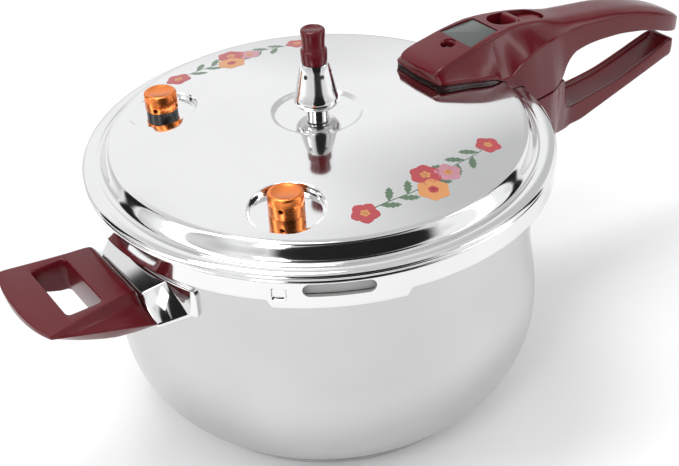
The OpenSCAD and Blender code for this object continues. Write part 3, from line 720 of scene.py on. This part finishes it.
def make_lid():
    flat, tris = dome_sheet()
    top = np.column_stack([flat, lid_height(flat[:, 0], flat[:, 1])])
    low = top.copy()
    low[:, 2] -= WALL
    low[:, 2] = np.minimum(low[:, 2], dome(np.hypot(flat[:, 0], flat[:, 1])) - WALL)
    verts = [tuple(v) for v in top] + [tuple(v) for v in low]
    m = len(top)
    faces = list(tris) + [tuple(i + m for i in reversed(t)) for t in tris]
    start = len(verts)
    columns = []
    for a in LID_MARKS:
        low_z = GAP_Z + (LOBE_Z - GAP_Z) * lobe_share(a)
        columns.append(list(rim_profile) + skirt_rows(low_z, a) + under_profile)
    for row in zip(*columns):
        verts += [(*polar(r, a), z) for a, (r, z) in zip(LID_MARKS, row)]
    faces += band(len(columns[0]), len(LID_MARKS), start)
    shell = clean(new_object("lid_steel", verts, faces))
    cutters = [rim_window()]
    cutters += [bore([(5, 120), (5, 170)], x=vx, y=vy) for vx, vy in VALVE_PLACES]
    cutters += [bore([(r, 120), (r, 172)], x=x) for x, r in ((0, 5.0), (PIN_X, 4.1))]
    piece(cut(shell, cutters), "lid_shell", degrees=40)


def rim_window():
    """The long slot pressed through the skirt over the front lobe."""
    outline = stadium(-17, 17, 3.5)(0)
    cutter = rings("window", [[(r, y, z + 141.5) for y, z in outline] for r in (117.5, 130.0)])
    cutter.data.transform(Matrix.Rotation(math.radians(240), 4, "Z"))
    return cutter


make_lid()

# ---- lid handle ----

NOSE_X = 67.0
HANDLE_TIP = 274.5
# hollows that the handle and the layer under it share: the pin's room and the lock's tooth
PIN_ROOM = (95.8, 115.2, 9.2)
PIN_HOLE_R = 6
TOOTH_X = (135.4, 149.6)
UNDER, OVER = 120, 190

LID_HANDLE = [
    (67, 14.9, 19, 169.0, 164.5), (67.5, 15.5, 19.8, 169.9, 164.5), (68.2, 16, 20.4, 170.7, 164.4),
    (70, 16.3, 21.2, 171.9, 164.2), (73, 16.4, 21.8, 173, 163.8), (85, 16, 23.6, 175.7, 162.2),
    (97, 15.5, 26, 178, 160.2), (107, 14.9, 26.6, 179.3, 157), (113, 14.2, 26.2, 179.9, 157.4),
    (121, 13.1, 25.8, 179.9, 162), (131, 11.8, 23.9, 179.2, 164.6), (141, 11.2, 20.6, 177.7, 164.4),
    (149, 11, 18, 176.1, 164.1), (155, 10.8, 16.5, 174.8, 163.9), (160.5, 10.6, 15.5, 173.4, 163.8),
    (169, 10.6, 14.6, 171.4, 163.3), (175, 10.7, 14.2, 170.4, 163.2), (188, 10.8, 13.8, 168.4, 162.6),
    (207, 11, 13.5, 165.6, 160.7), (228, 11, 13.2, 160.9, 155.3), (246, 10.9, 12.6, 155.2, 149.5),
    (254.5, 10.2, 11.7, 151.8, 146.6), (262, 8.9, 10.3, 148.0, 143.9), (266.5, 7.7, 8.9, 145.2, 142.1),
    (270, 6.3, 7.3, 142.8, 140.6), (272.4, 4.6, 5.3, 140.9, 139.2), (273.8, 2.9, 3.4, 139.4, 138.2),
    (274.5, 1.4, 1.7, 138.2, 137.3),
]
# the lower edge: half width and z, from the lid's rim to the tip
LID_HANDLE_LOW = [
    (118, 27.7, 137), (121, 27.8, 137), (131, 27.5, 137), (141, 26.3, 137), (149, 24.6, 137),
    (155, 21.6, 137), (160.5, 18.5, 137.2), (162.6, 17.6, 139), (164.6, 17, 142.5), (169, 16.2, 147.4),
    (175, 15.3, 150.0), (188, 14.4, 150.8), (207, 13.9, 149.6), (228, 13.5, 145.9), (246, 12.8, 140.7),
    (254.5, 11.8, 137.4), (262, 10.3, 134.6), (266.5, 8.8, 133.1), (270, 7.1, 132.5),
    (272.4, 5.1, 132.6), (273.8, 3.2, 133.4), (274.5, 1.6, 134.6),
]
SEAM = [(66, 164.3), (68, 164.1), (79, 162.7), (93, 160.9), (101, 159.5), (106.5, 157.0)]
SEAM_END = 106.5


def seam_z(x):
    return along(SEAM, min(max(x, SEAM[0][0]), SEAM_END))


def upper_ring(x, thw, chw, tz, cz, bhw, bz, corner):
    """Half a ring of the upper shell: bottom, lip at the crease, hollow flank, crowned top."""
    rise = max(tz - cz, 0.5)
    plain = float(ramp3((x - 92) / 22))
    lip = min(1.6, rise * 0.3) * (1 - 0.65 * plain)
    far = float(ramp3((x - 138) / 42))
    hollow = (0.2 - 0.16 * plain) * min(1.0, rise / 8)
    near_points = [
        (chw - 0.1, cz + lip * 0.55), (chw - 1.2, cz + lip),
        (thw + (chw - 1.1 - thw) * (1 - hollow) * 0.62, cz + lip + (rise - lip) * 0.34),
        (thw + 0.3, tz - min(2.2, rise * 0.3)), (thw, tz - 0.15),
    ]
    far_points = [
        (chw * 0.996, cz + rise * 0.10), (chw * 0.97, cz + rise * 0.34),
        (chw * 0.89, cz + rise * 0.62), (chw * 0.74, cz + rise * 0.85),
        (chw * 0.46, cz + rise * 0.985),
    ]
    blend = np.array(near_points) * (1 - far) + np.array(far_points) * far
    points = [(0, bz), (bhw, bz), (chw, cz), *blend, (0, tz)]
    return mirror_ring(x, rounded(points, [1.2, 0.35, 0.5, 0.8, 12, 4, corner + 3 * far], 5))


def bow(ring, x):
    """Pushes the middle of the nose forward so that its front edge is an arc in plan."""
    fade = 1 - float(ramp3((x - NOSE_X) / 26))
    ring[:, 0] += fade * (1.6 * (ring[:, 1] / 18) ** 2 - 1.4)
    return ring


def make_lid_handle():
    marks = [67.2, 67.5, 67.8, SEAM_END, SEAM_END + 0.05, 161.5, 162.5, 163.5, 164.5]
    marks += [267.5, 269, 270.5, 271.5, 272.4, 273.2, 273.8, 274.2]
    at = places(np.arange(67, 267, 1.5), marks, HANDLE_TIP)
    top = table(LID_HANDLE, at)
    low = table(LID_HANDLE_LOW, np.maximum(at, 118))
    loops = []
    for x, (thw, chw, tz, cz), (bhw, bz) in zip(at, top, low):
        if x <= SEAM_END:
            bz = seam_z(x) + 0.3
            bhw = chw - 0.15
            cz = max(cz, bz + 0.5)
        loops.append(bow(upper_ring(x, thw, chw, tz, cz, bhw, bz, 1.6 if x < 120 else 2.6), x))
    shell = clean(rings("lid_handle_shell", loops))
    pin_steps = [(PIN_HOLE_R, UNDER), (PIN_HOLE_R, 168), (3.9, 168), (3.9, 175.4)]
    pin_steps += [(4.8, 176.4), (4.8, OVER)]
    cutters = [
        lid_cutter(0.3),
        plate_solid(PLATE_DEPTH + 0.35, 8, 0.35),
        prism("slot", stadium(118.5, 157, 8), [(170.5, 0), (174.6, 0), (OVER, 0)]),
        box_cutter(118.5, 158, 5.4, 166.6, 171),
        box_cutter(*TOOTH_X, 4.4, UNDER, 171),
        box_cutter(*PIN_ROOM, UNDER, 164.2),
        bore(pin_steps, x=PIN_X),
        bore([(SCREW_R, UNDER), (SCREW_R, 171), (HEAD_R, 171), (HEAD_R, 178.5)], 40, 104.5),
    ]
    piece(cut(shell, cutters), "lid_handle", degrees=32)


def box_cutter(x0, x1, half, z0, z1):
    loops = [[(x, -half, z0), (x, half, z0), (x, half, z1), (x, -half, z1)] for x in (x0, x1)]
    return rings("block", loops)


def lid_cutter(gap):
    """The lid's outer form, grown by gap, as a solid to cut away what sits on it."""
    rim = np.array(rim_profile) + (0, gap)
    rim[:, 0] += np.where(rim[:, 1] < 157, gap, 0)
    top = [(r, dome(r) + gap) for r in np.linspace(0, JOIN_R - 1, 30)]
    side = [(LID_R + gap, 144.0), (LID_R + gap, 120.0), (0, 120.0)]
    return lathe("lid_form", top + [tuple(p) for p in rim] + side, 240)


PLATE_X = (93.6, 115.2)
PLATE_Z = (177.0, 179.4)
PLATE_DEPTH = 1.4


def plate_solid(below, above, grow):
    outline = soft_polygon([(0, -13.2), (21.6, -10.5), (21.6, 10.5), (0, 13.2)], 1.2)
    soft = 0.35 if above < 1 else 0.0
    levels = [(-below, grow), (above, grow)]
    if soft:
        edge = [(above - soft, grow), (above - soft * 0.3, grow - soft * 0.3), (above, grow - soft)]
        levels = levels[:1] + edge
    obj = prism("plate", outline, levels)
    tilt = -math.atan2(PLATE_Z[1] - PLATE_Z[0], PLATE_X[1] - PLATE_X[0])
    obj.data.transform(Matrix.Rotation(tilt, 4, "Y"))
    return moved(obj, PLATE_X[0], 0, PLATE_Z[0])


def make_base_layer():
    """The dark layer between the handle and the lid."""
    at = places([67.4, 67.6, 67.9, 68.4], np.arange(69, SEAM_END, 1.5), SEAM_END - 0.2)
    loops = []
    for x, hw in zip(at, table(LID_HANDLE, at)[:, 1] - 0.35):
        sz = seam_z(x) - 0.15
        points = [(0, 137.0), (hw - 1.6, 137.0), (hw - 1.6, sz - 6), (hw - 0.2, sz - 1.9)]
        points += [(hw, sz - 0.5), (hw - 0.5, sz), (0, sz)]
        loops.append(bow(mirror_ring(x, rounded(points, [1, 3, 1, 0.4, 0.4], 4)), x))
    layer = clean(rings("lid_handle_underlayer", loops))
    cutters = [lid_cutter(0.05), bore([(PIN_HOLE_R, UNDER), (PIN_HOLE_R, OVER)], x=PIN_X)]
    cutters.append(box_cutter(*PIN_ROOM, UNDER, OVER))
    piece(cut(layer, cutters), "lid_handle_base", degrees=32)


make_lid_handle()
make_base_layer()
piece(plate_solid(PLATE_DEPTH, -0.05, 0), "window_plate")


RIB_DEPTH = 0.32
RIB_PITCH = 1.93


def make_slider():
    """The red thumb slider: a ridge at its front, fine ribs behind it and a round back end."""
    x0, x1, r = 132.5, 156.0, 7.6
    back = x1 - r + r * np.sin(np.linspace(0, math.pi / 2, 26))
    at = places(np.linspace(x0, x0 + 9, 19), np.arange(x0 + 9, x1 - r, 0.25), back)
    at[-1] = x1 - 0.03
    crest = [(0, 176.3), (0.4, 178.2), (1.0, 179.1), (1.8, 179.5), (2.6, 179.5), (3.4, 179.1)]
    crest += [(4.6, 178.1), (6.6, 176.3), (8.5, 175.0), (9.5, 174.5), (23.5, 172.9)]
    loops = []
    for x in at:
        t = x - x0
        top = along(crest, t)
        if 10 < t < 21.6:
            top -= RIB_DEPTH * (0.5 - 0.5 * math.cos((t - 10) / RIB_PITCH * 2 * math.pi))
        reach = x - (x1 - r)
        half = math.sqrt(max(r * r - reach * reach, 0.04)) if reach > 0 else r
        ridge = 1.7 * max(0, 1 - abs(t - 2.4) / 5.5)
        edge = min(1.0, half * 0.6)
        points = [(0, 170.7), (half, 170.7), (half, top - edge * 1.2)]
        points += [(half - ridge - edge * 0.2, top - 0.05), (0, top)]
        loops.append(mirror_ring(x, rounded(points, [0.3, 0.8, 0.8], 4)))
    piece(rings("slider_pad", loops), "lock_slider", degrees=40)


make_slider()

# ---- pot handle ----

POT_HANDLE = [
    (113, 26.8, 27, 24.5, 136.2, 120, 107), (118, 27.4, 27, 24.5, 136.2, 120, 107),
    (130, 27.5, 27, 24.5, 136.2, 120, 106), (144, 26, 25.6, 24, 136.2, 119, 104.8),
    (152, 23, 23, 22.4, 136.2, 118, 103.6), (158, 19.8, 19.8, 19.6, 136.2, 115, 101.2),
    (161.5, 18.1, 18.4, 18.4, 136.2, 113.2, 100.3), (163.2, 17.5, 17.8, 17.8, 135.9, 112.2, 100),
    (164.2, 17.1, 17.5, 17.5, 134.6, 111.6, 99.8), (165.2, 16.7, 17.1, 17.2, 130, 110.8, 99.6),
    (166.2, 16.3, 16.6, 16.8, 124, 110, 99.4), (167.4, 15.8, 16.2, 16.5, 119, 108.8, 99.3),
    (169.2, 15.1, 15.5, 16.1, 115.4, 107.6, 99.2), (173, 14, 14.5, 15.3, 112.9, 106.5, 99.1),
    (182, 12.9, 13.6, 14.3, 112.2, 106.2, 98.8), (196, 12.1, 12.7, 13.2, 113.2, 107.4, 101.1),
    (215, 11.5, 12, 12.2, 115.4, 110.3, 105.2), (238, 10.9, 11.3, 11.2, 121, 116, 110.4),
    (254, 10.4, 10.6, 10.3, 125.6, 120, 114), (262.5, 9.8, 10, 9.7, 127.9, 122.4, 116),
    (265.2, 9.3, 9.5, 9.1, 128.1, 122.7, 116.7), (266.7, 8.4, 8.6, 8.2, 127.9, 122.9, 117.6),
    (267.5, 7.2, 7.3, 7.0, 127.3, 123, 118.6),
]


def make_pot_handle():
    at = places(np.arange(113, 262, 1.5), np.arange(262, 267.4, 0.5), np.arange(161, 169, 0.4), 267.5)
    loops = []
    for x, (thw, chw, bhw, tz, cz, bz) in zip(at, table(POT_HANDLE, at)):
        share = float(ramp3((x - 168.5) / 6)) * float(ramp3((264.5 - x) / 5))
        dip = 2.6 * share
        points = [(0, bz), (bhw * 0.75, bz + 0.1), (bhw, bz + 0.9 + 0.9 * share), (chw, cz), (thw, tz)]
        points += [(thw - 1.6 - 0.4 * share, tz - 0.05), (thw * 0.72, tz - dip), (0, tz - dip - 0.1)]
        loops.append(mirror_ring(x, rounded(points, [2.0, 1.6, 5.0, 1.2, 0.9, 2.0], 5)))
    shell = clean(rings("pot_handle_shell", loops))
    cutters = [
        bore([(115.6, 80), (115.6, 145)], 240),
        bore([(125.9, 128.5), (126.6, 129.2), (126.6, 145)], 240),
        box_cutter(110, 150, 11, 112, 117),
        box_cutter(*TOOTH_X, 4.6, 130, 145),
        groove_cutter(),
        bore([(HEAD_R, 90), (HEAD_R, 106.5), (SCREW_R, 106.5), (SCREW_R, 117)], 40, 140),
    ]
    piece(cut(shell, cutters), "pot_handle", degrees=32)


def groove_cutter():
    """The curved groove that lets the lock's tooth out sideways."""
    section = ((142.4, 130.0), (150.2, 130.0), (150.2, 145.0), (142.4, 145.0))
    loops = [[(*polar(r, a), z) for r, z in section] for a in np.linspace(-3, 26, 30)]
    return rings("groove", loops)


make_pot_handle()

# ---- helper handle ----

HELPER_SCREW_X = -131
# the bracket's tongue inside the grip: half width, lower and upper face
TONGUE = (16, 105.5, 109.5)
HELPER = [
    (123.5, 20.5, 38.6, 37.4, 113.6, 107.0, 101.8), (124.6, 21.4, 38.6, 37.2, 116.4, 107.4, 101.4),
    (126, 22.6, 38.5, 36.9, 118.9, 107.8, 101.1), (127.6, 23.6, 38.3, 36.6, 120.2, 108.2, 100.9),
    (130, 24.2, 38, 36, 120.5, 108.7, 100.6), (134, 24.8, 37.3, 35.1, 120.5, 109.6, 100.4),
    (140, 25.6, 36.3, 34, 120.5, 110.9, 100.6), (146, 26.7, 35.4, 33, 120.5, 112.2, 101.8),
    (152, 27.9, 34.6, 32.2, 120.5, 113.5, 103.8), (159, 29.3, 33.7, 31.5, 120.5, 115.1, 106.6),
    (166, 30.8, 32.9, 30.7, 120.5, 116.8, 110.2), (171, 31.8, 32.5, 29.9, 120.5, 118.1, 113.4),
    (173.4, 32, 32.3, 29.3, 120.45, 118.7, 114.7), (175.2, 28.6, 28.9, 26, 120.4, 118.8, 115.2),
    (176.6, 24.6, 24.9, 22, 120.4, 118.9, 115.6), (177.8, 19.2, 19.5, 16.8, 120.3, 118.9, 115.9),
    (178.6, 12.8, 13.1, 10.8, 120.2, 118.8, 116.2), (179, 6.5, 6.7, 5, 120.0, 118.6, 116.6),
]


def make_helper():
    at = places(np.arange(123.5, 173, 1.1), np.arange(173, 178.9, 0.35), [178.8, 178.95, 179])
    loops = []
    for x, (thw, chw, bhw, tz, cz, bz) in zip(at, table(HELPER, at)):
        rise = tz - cz
        pull = 0.75 * min(1, max(0, (chw - thw) / 8))
        mid = (thw + (chw - thw) * (0.5 - 0.3 * pull), cz + rise * (0.5 - 0.24 * pull))
        points = [(0, bz), (bhw * 0.86, bz), (chw, cz - 0.5), (chw - 0.15, cz + 0.25), mid]
        points += [(thw, tz), (0, tz)]
        loops.append(mirror_ring(x, rounded(points, [3.5, 0.5, 0.5, 9, 0.7], 5)) * (-1, 1, 1))
    shell = clean(rings("helper_shell", loops))
    outline = soft_polygon([(-161, -22), (-142.7, -22), (-142.7, 22), (-161, 22)], 3.2)
    levels = [(90, 0.9), (101.0, 0.9), (101.6, 0.35), (102.3, 0), (119.3, 0)]
    levels += [(119.95, 0.25), (120.35, 0.7), (120.6, 1.4), (130, 1.4)]
    cutters = [
        prism("hole", outline, levels),
        box_cutter(-138, -110, *TONGUE),
        bore([(HEAD_R, 90), (HEAD_R, 101.6), (SCREW_R, 101.6), (SCREW_R, 109.5)], 40, HELPER_SCREW_X),
    ]
    piece(cut(shell, cutters), "helper_handle", degrees=32)


def make_saddle():
    """The polished bracket: a strip round the neck, a sloping saddle and a tongue."""
    loops = []
    ends = np.array([45.5, 46.8, 47.6, 48])
    for s in places(-ends, np.linspace(-44, 44, 45), ends):
        cut_in = 2.6 - math.sqrt(max(2.6**2 - max(abs(s) - 45.4, 0) ** 2, 0.0))
        a = math.pi + s / NECK_R
        z0, z1 = 106.5 + cut_in, 122.5 - cut_in
        back, front = NECK_R + 0.02, NECK_R + 1.6
        corners = [(back, z0 + 4), (back, z0), (front, z0), (front, z1), (back, z1), (back, z0 + 5)]
        section = rounded(corners, [0.1, 0.5, 0.5, 0.1], 4)
        loops.append([(r * math.cos(a), r * math.sin(a), z) for r, z in section])
    strip = clean(rings("helper_saddle", loops))
    loops = []
    for x in list(np.linspace(104, 122.8, 20)) + [123.1, 123.35, 123.5]:
        t = (x - 112) / 12
        worn = max(0.0, x - 122.8) * 0.5
        ridge, top = 29 - 9 * t - worn, 121.5 - 7.7 * t - worn
        top = min(top, 122.2)
        low = 40.6 - 1.9 * t - worn
        points = [(0, 104.5 + worn), (low, 104.5 + worn), (low, 106.6), (ridge, top), (0, top + 0.25)]
        loops.append(mirror_ring(x, rounded(points, [0.5, 0.8, 0.7], 5)) * (-1, 1, 1))
    saddle = clean(rings("saddle", loops))
    saddle = cut(saddle, [bore([(114.3, 90), (114.3, 135)], 240)])
    tongue = box_cutter(-138, -115, *TONGUE)
    hole = bore([(2, 90), (2, 130)], 32, HELPER_SCREW_X)
    body = cut(strip, [saddle, tongue], "UNION")
    piece(cut(clean(body), [hole]), "helper_bracket", degrees=30)


make_helper()
make_saddle()

# ---- weight, valves and pin ----


def make_weight():
    """The weight: a cone with six vents, and the grip on its top."""
    foot = [(6.4, 167.6), (7.6, 167.8), (8.9, 168.3), (10.8, 169.7), (11.75, 171.4), (11.9, 172.4)]
    profile = [(0, 167.6), *smooth(foot + [(11.7, 173.8), (11.2, 175.6)], 5), (10.4, 179), (9.2, 185)]
    profile += [(8.1, 190.2), (7.6, 192.8), (7.35, 193.45), (7.0, 193.6), (0, 193.6)]
    body = clean(lathe("weight_cone", profile, 96))
    cutters = vents([(1.15, 3), (1.15, 9.2), (1.5, 9.9), (1.5, 20)], 6, 22, 188)
    steps = [(3.55, 160), (3.55, 175.5), (5, 176), (5, 190), (2.25, 190.5), (2.25, 194)]
    cutters.append(bore(steps, 40))
    piece(cut(body, cutters), "weight_body", degrees=32)
    knob = [(0, 193.6), (6.3, 193.6), (6.65, 193.75), (6.8, 194.2), (6.95, 199.6), (6.9, 200.3)]
    waist = [(6.6, 200.75), (6.1, 201.1), (5.85, 201.8), (5.8, 203), (5.95, 206), (6.25, 208.8)]
    waist += [(6.4, 210.2), (6.35, 211.0), (6.0, 211.55), (5.3, 211.9)]
    knob += [*smooth(waist, 4), (4.9, 212), (4.5, 211.9), (4.2, 211.65), (0, 211.6)]
    piece(lathe("weight_grip", knob, 96), "weight_knob", degrees=40)


def make_cap(node, lift, x, y):
    """A safety valve's turned cap, with four vents; lift is how far its lower edge stands up."""
    z0 = 158.0 + lift
    z1 = z0 + 11.5 - lift / 2
    profile = [(0, z0), (8.4, z0), (8.7, z0 + 0.12), (8.8, z0 + 0.4), (8.8, z1 - 1.5)]
    profile += [(8.72, z1 - 1.0), (8.45, z1 - 0.5), (8.0, z1 - 0.15), (7.3, z1), (6.6, z1)]
    profile += [(6.3, z1 - 0.18), (0, z1 - 0.22)]
    cap = clean(lathe("cap", profile, 96))
    steps = [(6.2, 150), (6.2, 160.4), (4.8, 160.4), (4.8, 164.5), (3.6, 164.6), (3.6, 167.3)]
    cutters = [bore(steps), *vents([(1.1, 3), (1.1, 8.3), (1.4, 8.7), (1.4, 20)], 4, 40, 163.2)]
    cap = moved(cut(cap, cutters), x, y)
    cap.name = node + "_turned"
    piece(cap, node, degrees=32)


make_weight()
make_cap("front_valve_cap", 0, *VALVE_PLACES[0])
make_cap("left_valve_cap", 3.4, *VALVE_PLACES[1])


def make_spring(node, wire, turns):
    """A wound spring that fills its part's box, from its foot to its top."""
    low, high = (np.array(v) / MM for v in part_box(node))
    x, y = (low[:2] + high[:2]) / 2
    r = (high[0] - low[0] - wire) / 2
    section = np.linspace(0, 2 * math.pi, 10, endpoint=False)
    loops = []
    for t in np.linspace(0, 1, int(28 * turns) + 1):
        turn = 2 * math.pi * turns * t
        reach = r + wire / 2 * np.cos(section)
        height = low[2] + wire / 2 + (high[2] - low[2] - wire) * t + wire / 2 * np.sin(section)
        loops.append(np.stack([x + reach * math.cos(turn), y + reach * math.sin(turn), height], 1))
    coil = piece(rings(node + "_coil", loops), node)
    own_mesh(coil)


def make_pin():
    """The pressure pin: a foot, a stem with a collar for the spring, and a domed head."""
    head, top = 3.1, 171.3
    profile = [(0, 151), (3.0, 151), (3.2, 151.2), (3.2, 151.8), (3.0, 152), (2, 152), (2, 160.1)]
    profile += [(4.5, 160.1), (4.6, 160.2), (4.6, 161), (4.5, 161.1), (2, 161.1), (2, 169.3)]
    profile += [(3.0, 169.3), (head, 169.4)]
    for a in np.linspace(0, 90, 16)[:-1]:
        r, rise = polar(head, a)
        profile.append((r, top + rise))
    profile.append((0, top + head))
    piece(moved(lathe("pressure_pin", profile, 64), PIN_X), "indicator_pin", degrees=32)


make_pin()
make_spring("indicator_spring", 0.6, 5)
make_spring("front_valve_spring", 0.5, 4)
make_spring("left_valve_spring", 0.5, 4)

# ---- leaf sprays on the lid ----

STEM_LIFT = 0.03


def on_lid(x, y):
    return float(lid_height(np.array([x]), np.array([y]))[0])


def thin_patch(grid, lift):
    """Closed faces for a grid of points on the lid, a hair above it and reaching into it."""
    rows, cols = len(grid), len(grid[0])
    top = [(x, y, on_lid(x, y) + lift) for row in grid for x, y in row]
    low = [(x, y, on_lid(x, y) - 0.2) for row in grid for x, y in row]
    m = rows * cols
    faces = []
    for i in range(rows - 1):
        for j in range(cols - 1):
            a, b, c, d = i * cols + j, i * cols + j + 1, (i + 1) * cols + j + 1, (i + 1) * cols + j
            faces += [(a, b, c, d), (m + d, m + c, m + b, m + a)]
    edge = [i * cols for i in range(rows)] + [(rows - 1) * cols + j for j in range(1, cols)]
    edge += [i * cols + cols - 1 for i in range(rows - 2, -1, -1)] + list(range(cols - 2, 0, -1))
    for a, b in zip(edge, edge[1:] + edge[:1]):
        faces.append((a, b, m + b, m + a))
    return top + low, faces


def blade(x, y, heading, length, width, lift, blunt=1.0, notches=0.0):
    """A leaf or petal from its foot along a heading in degrees. Notches give it a toothed edge."""
    t = math.radians(heading)
    ux, uy = math.cos(t), math.sin(t)
    grid = []
    for u in np.linspace(0.03, 0.985, 23 if notches else 13):
        half = width / 2 * math.sin(math.pi * u**blunt) ** 0.8
        half *= 1 - notches * (0.5 - 0.5 * math.cos(u * 8 * math.pi))
        row = []
        for v in (-1, -0.5, 0, 0.5, 1):
            side = half * v + 0.06 * length * u * u
            fore = length * u + notches * 1.6 * half * abs(v)
            row.append((x + ux * fore - uy * side, y + uy * fore + ux * side))
        grid.append(row)
    return thin_patch(grid, lift)


def stem(points, width):
    """A thin tapering stalk through points."""
    line = smooth(points, 8)
    across = inset(line, 1.0) - line
    taper = np.linspace(1, 0.6, len(line))[:, None] * width / 2
    grid = [[tuple(p - a * w), tuple(p + a * w)] for p, a, w in zip(line, across, taper)]
    return thin_patch(grid, STEM_LIFT)


def bloom(parts, x, y, size, colour, middle, petals, turn):
    """An open flower seen from above: overlapping petals and a round middle."""
    for k in range(petals):
        lift = 0.07 if k % 2 else 0.10
        parts[colour].append(blade(x, y, turn + 360 * k / petals, size, size * 0.92, lift, 1.35))
    for k in range(5):
        parts[middle].append(blade(x, y, turn + 72 * k, size * 0.34, size * 0.34, 0.14, 1.0))


def spray(name, ends, sag, blooms, leaf_count):
    """A bent stem with toothed leaves on both sides and open flowers along it."""
    parts = {"print_green": [], "print_red": [], "print_orange": [], "print_pink": []}
    start, end = np.array(ends[0]), np.array(ends[1])
    run = end - start
    across = np.array([-run[1], run[0]]) / np.linalg.norm(run)

    def spot(share, off=0.0):
        wave = sag * math.sin(math.pi * share) + 0.9 * math.sin(4 * math.pi * share)
        return start + run * share + across * (wave + off)

    parts["print_green"].append(stem([tuple(spot(t)) for t in np.linspace(0.02, 0.98, 11)], 0.7))
    heading = math.degrees(math.atan2(run[1], run[0]))
    for i in range(leaf_count):
        share = 0.1 + 0.8 * (i + 0.5) / leaf_count
        side = 1 if i % 2 else -1
        way = 180 if share > 0.5 else 0
        x, y = spot(share)
        turn = heading + way + side * (42 if way == 0 else -42)
        parts["print_green"].append(blade(x, y, turn, 10.5, 4.4, 0.04, 0.9, 0.34))
    for share, off, size, colour, middle, petals in blooms:
        x, y = spot(share, off)
        bloom(parts, x, y, size, colour, middle, petals, 23 + 70 * share)
    for slot, patches in parts.items():
        verts, faces = [], []
        for part_verts, part_faces in patches:
            base = len(verts)
            verts += part_verts
            faces += [tuple(i + base for i in f) for f in part_faces]
        piece(new_object(name + slot[5:], verts, faces), "lid_shell", slot, stands=False)


BLOOMS = [
    (0.03, 0.0, 7.4, "print_red", "print_orange", 5),
    (0.43, -4.8, 8.4, "print_orange", "print_red", 6),
    (0.49, 5.2, 8.2, "print_red", "print_orange", 6),
    (0.60, -1.6, 7.0, "print_pink", "print_orange", 5),
    (0.97, 0.0, 7.0, "print_red", "print_orange", 5),
]
spray("spray_front", (polar(95, -112), polar(93, -54)), -4, BLOOMS, 14)
spray("spray_back", (polar(96, 113), polar(95, 62)), 4, BLOOMS, 14)

# ---- floor and light ----

FLOOR_R = 12000
CARD_AIM = Vector((0, 0, 0.12))

def pale(name, colour):
    """A matt ground with a very slight change of shade."""
    p = Paint(name).set(Roughness=0.7)
    soft = p.noise(3.0, 2.0, 0.5)
    dark = tuple(c * 0.985 for c in colour)
    p.into(p.ramp(soft, [(0.3, dark), (0.7, colour)]), "Base Color")
    return p.mat


def make_floor():
    floor = lathe("floor", [(0, -8), (FLOOR_R, -8), (FLOOR_R, 0), (0, 0)], 96)
    floor.data.materials.append(pale("floor_pale", (0.93, 0.93, 0.93)))
    clean(floor)


def aimed(obj, side, away, height):
    """Puts a card at metres to the right of the view, away from the camera and up, facing the pot."""
    s, c = math.sin(AZIMUTH), math.cos(AZIMUTH)
    place = Vector((side * c + away * s, -side * s + away * c, height))
    obj.location = place
    obj.rotation_euler = (CARD_AIM - place).to_track_quat("-Z", "Y").to_euler()
    obj.visible_camera = False


def card(name, place, size, power):
    """A soft studio lamp."""
    light = bpy.data.lights.new(name, "AREA")
    light.shape = "RECTANGLE"
    light.size, light.size_y = size
    light.energy = power
    obj = bpy.data.objects.new(name, light)
    bpy.context.scene.collection.objects.link(obj)
    aimed(obj, *place)


def dark_card(name, place, size):
    """A black studio flag for the steel to reflect, fading to pale at its edges."""
    x, y = size[0] / 2 / MM, size[1] / 2 / MM
    obj = clean(rings(name, [[(-x, -y, z), (x, -y, z), (x, y, z), (-x, y, z)] for z in (-2, 2)]))
    p = Paint(name).set(Roughness=0.9, Specular_IOR_Level=0.1)
    fade = p.node("ShaderNodeTexGradient", gradient_type="SPHERICAL")
    p.link(p.scaled((2 / size[0], 2 / size[1], 0)), fade.inputs["Vector"])
    edge, black = (0.85, 0.85, 0.85), (0.01, 0.01, 0.01)
    p.into(p.ramp(fade.outputs["Fac"], [(0.02, edge), (0.2, black)]), "Base Color")
    obj.data.materials.append(p.mat)
    aimed(obj, *place)
    obj.visible_shadow = False
    obj.visible_diffuse = False


def make_light():
    world = bpy.data.worlds.new("studio")
    bpy.context.scene.world = world
    world.use_nodes = True
    tree = world.node_tree
    sky = tree.nodes["Background"]
    sky.inputs["Color"].default_value = (0.98, 0.985, 1.0, 1)
    around = tree.nodes.new("ShaderNodeTexCoord").outputs["Generated"]
    cloud = tree.nodes.new("ShaderNodeTexNoise")
    cloud.inputs["Scale"].default_value = 1.7
    cloud.inputs["Detail"].default_value = 1.0
    tree.links.new(around, cloud.inputs["Vector"])
    level = tree.nodes.new("ShaderNodeMapRange")
    for socket, value in (("From Min", 0.4), ("From Max", 0.6), ("To Min", 0.66), ("To Max", 1.1)):
        level.inputs[socket].default_value = value
    tree.links.new(cloud.outputs["Fac"], level.inputs["Value"])
    tree.links.new(level.outputs["Result"], sky.inputs["Strength"])
    card("top_box", (-0.35, 0.3, 1.6), (0.7, 0.6), 8)
    card("left_box", (-1.25, -0.35, 0.95), (0.35, 1.3), 4.6)
    card("right_box", (1.3, -0.15, 0.8), (0.25, 1.2), 2.8)
    card("front_box", (-0.5, -1.0, 1.0), (0.3, 0.5), 2.4)
    dark_card("front_card", (0.35, -1.3, 0.62), (2.4, 1.7))
    dark_card("over_card", (0.25, -0.85, 1.45), (1.9, 1.1))
    dark_card("side_card_left", (-1.2, 0.3, 0.6), (0.4, 1.3))
    dark_card("side_card_right", (1.2, 0.35, 0.6), (0.3, 1.3))


make_floor()
make_light()

view = bpy.context.scene.view_settings
view.view_transform = "Standard"
view.look = "None"
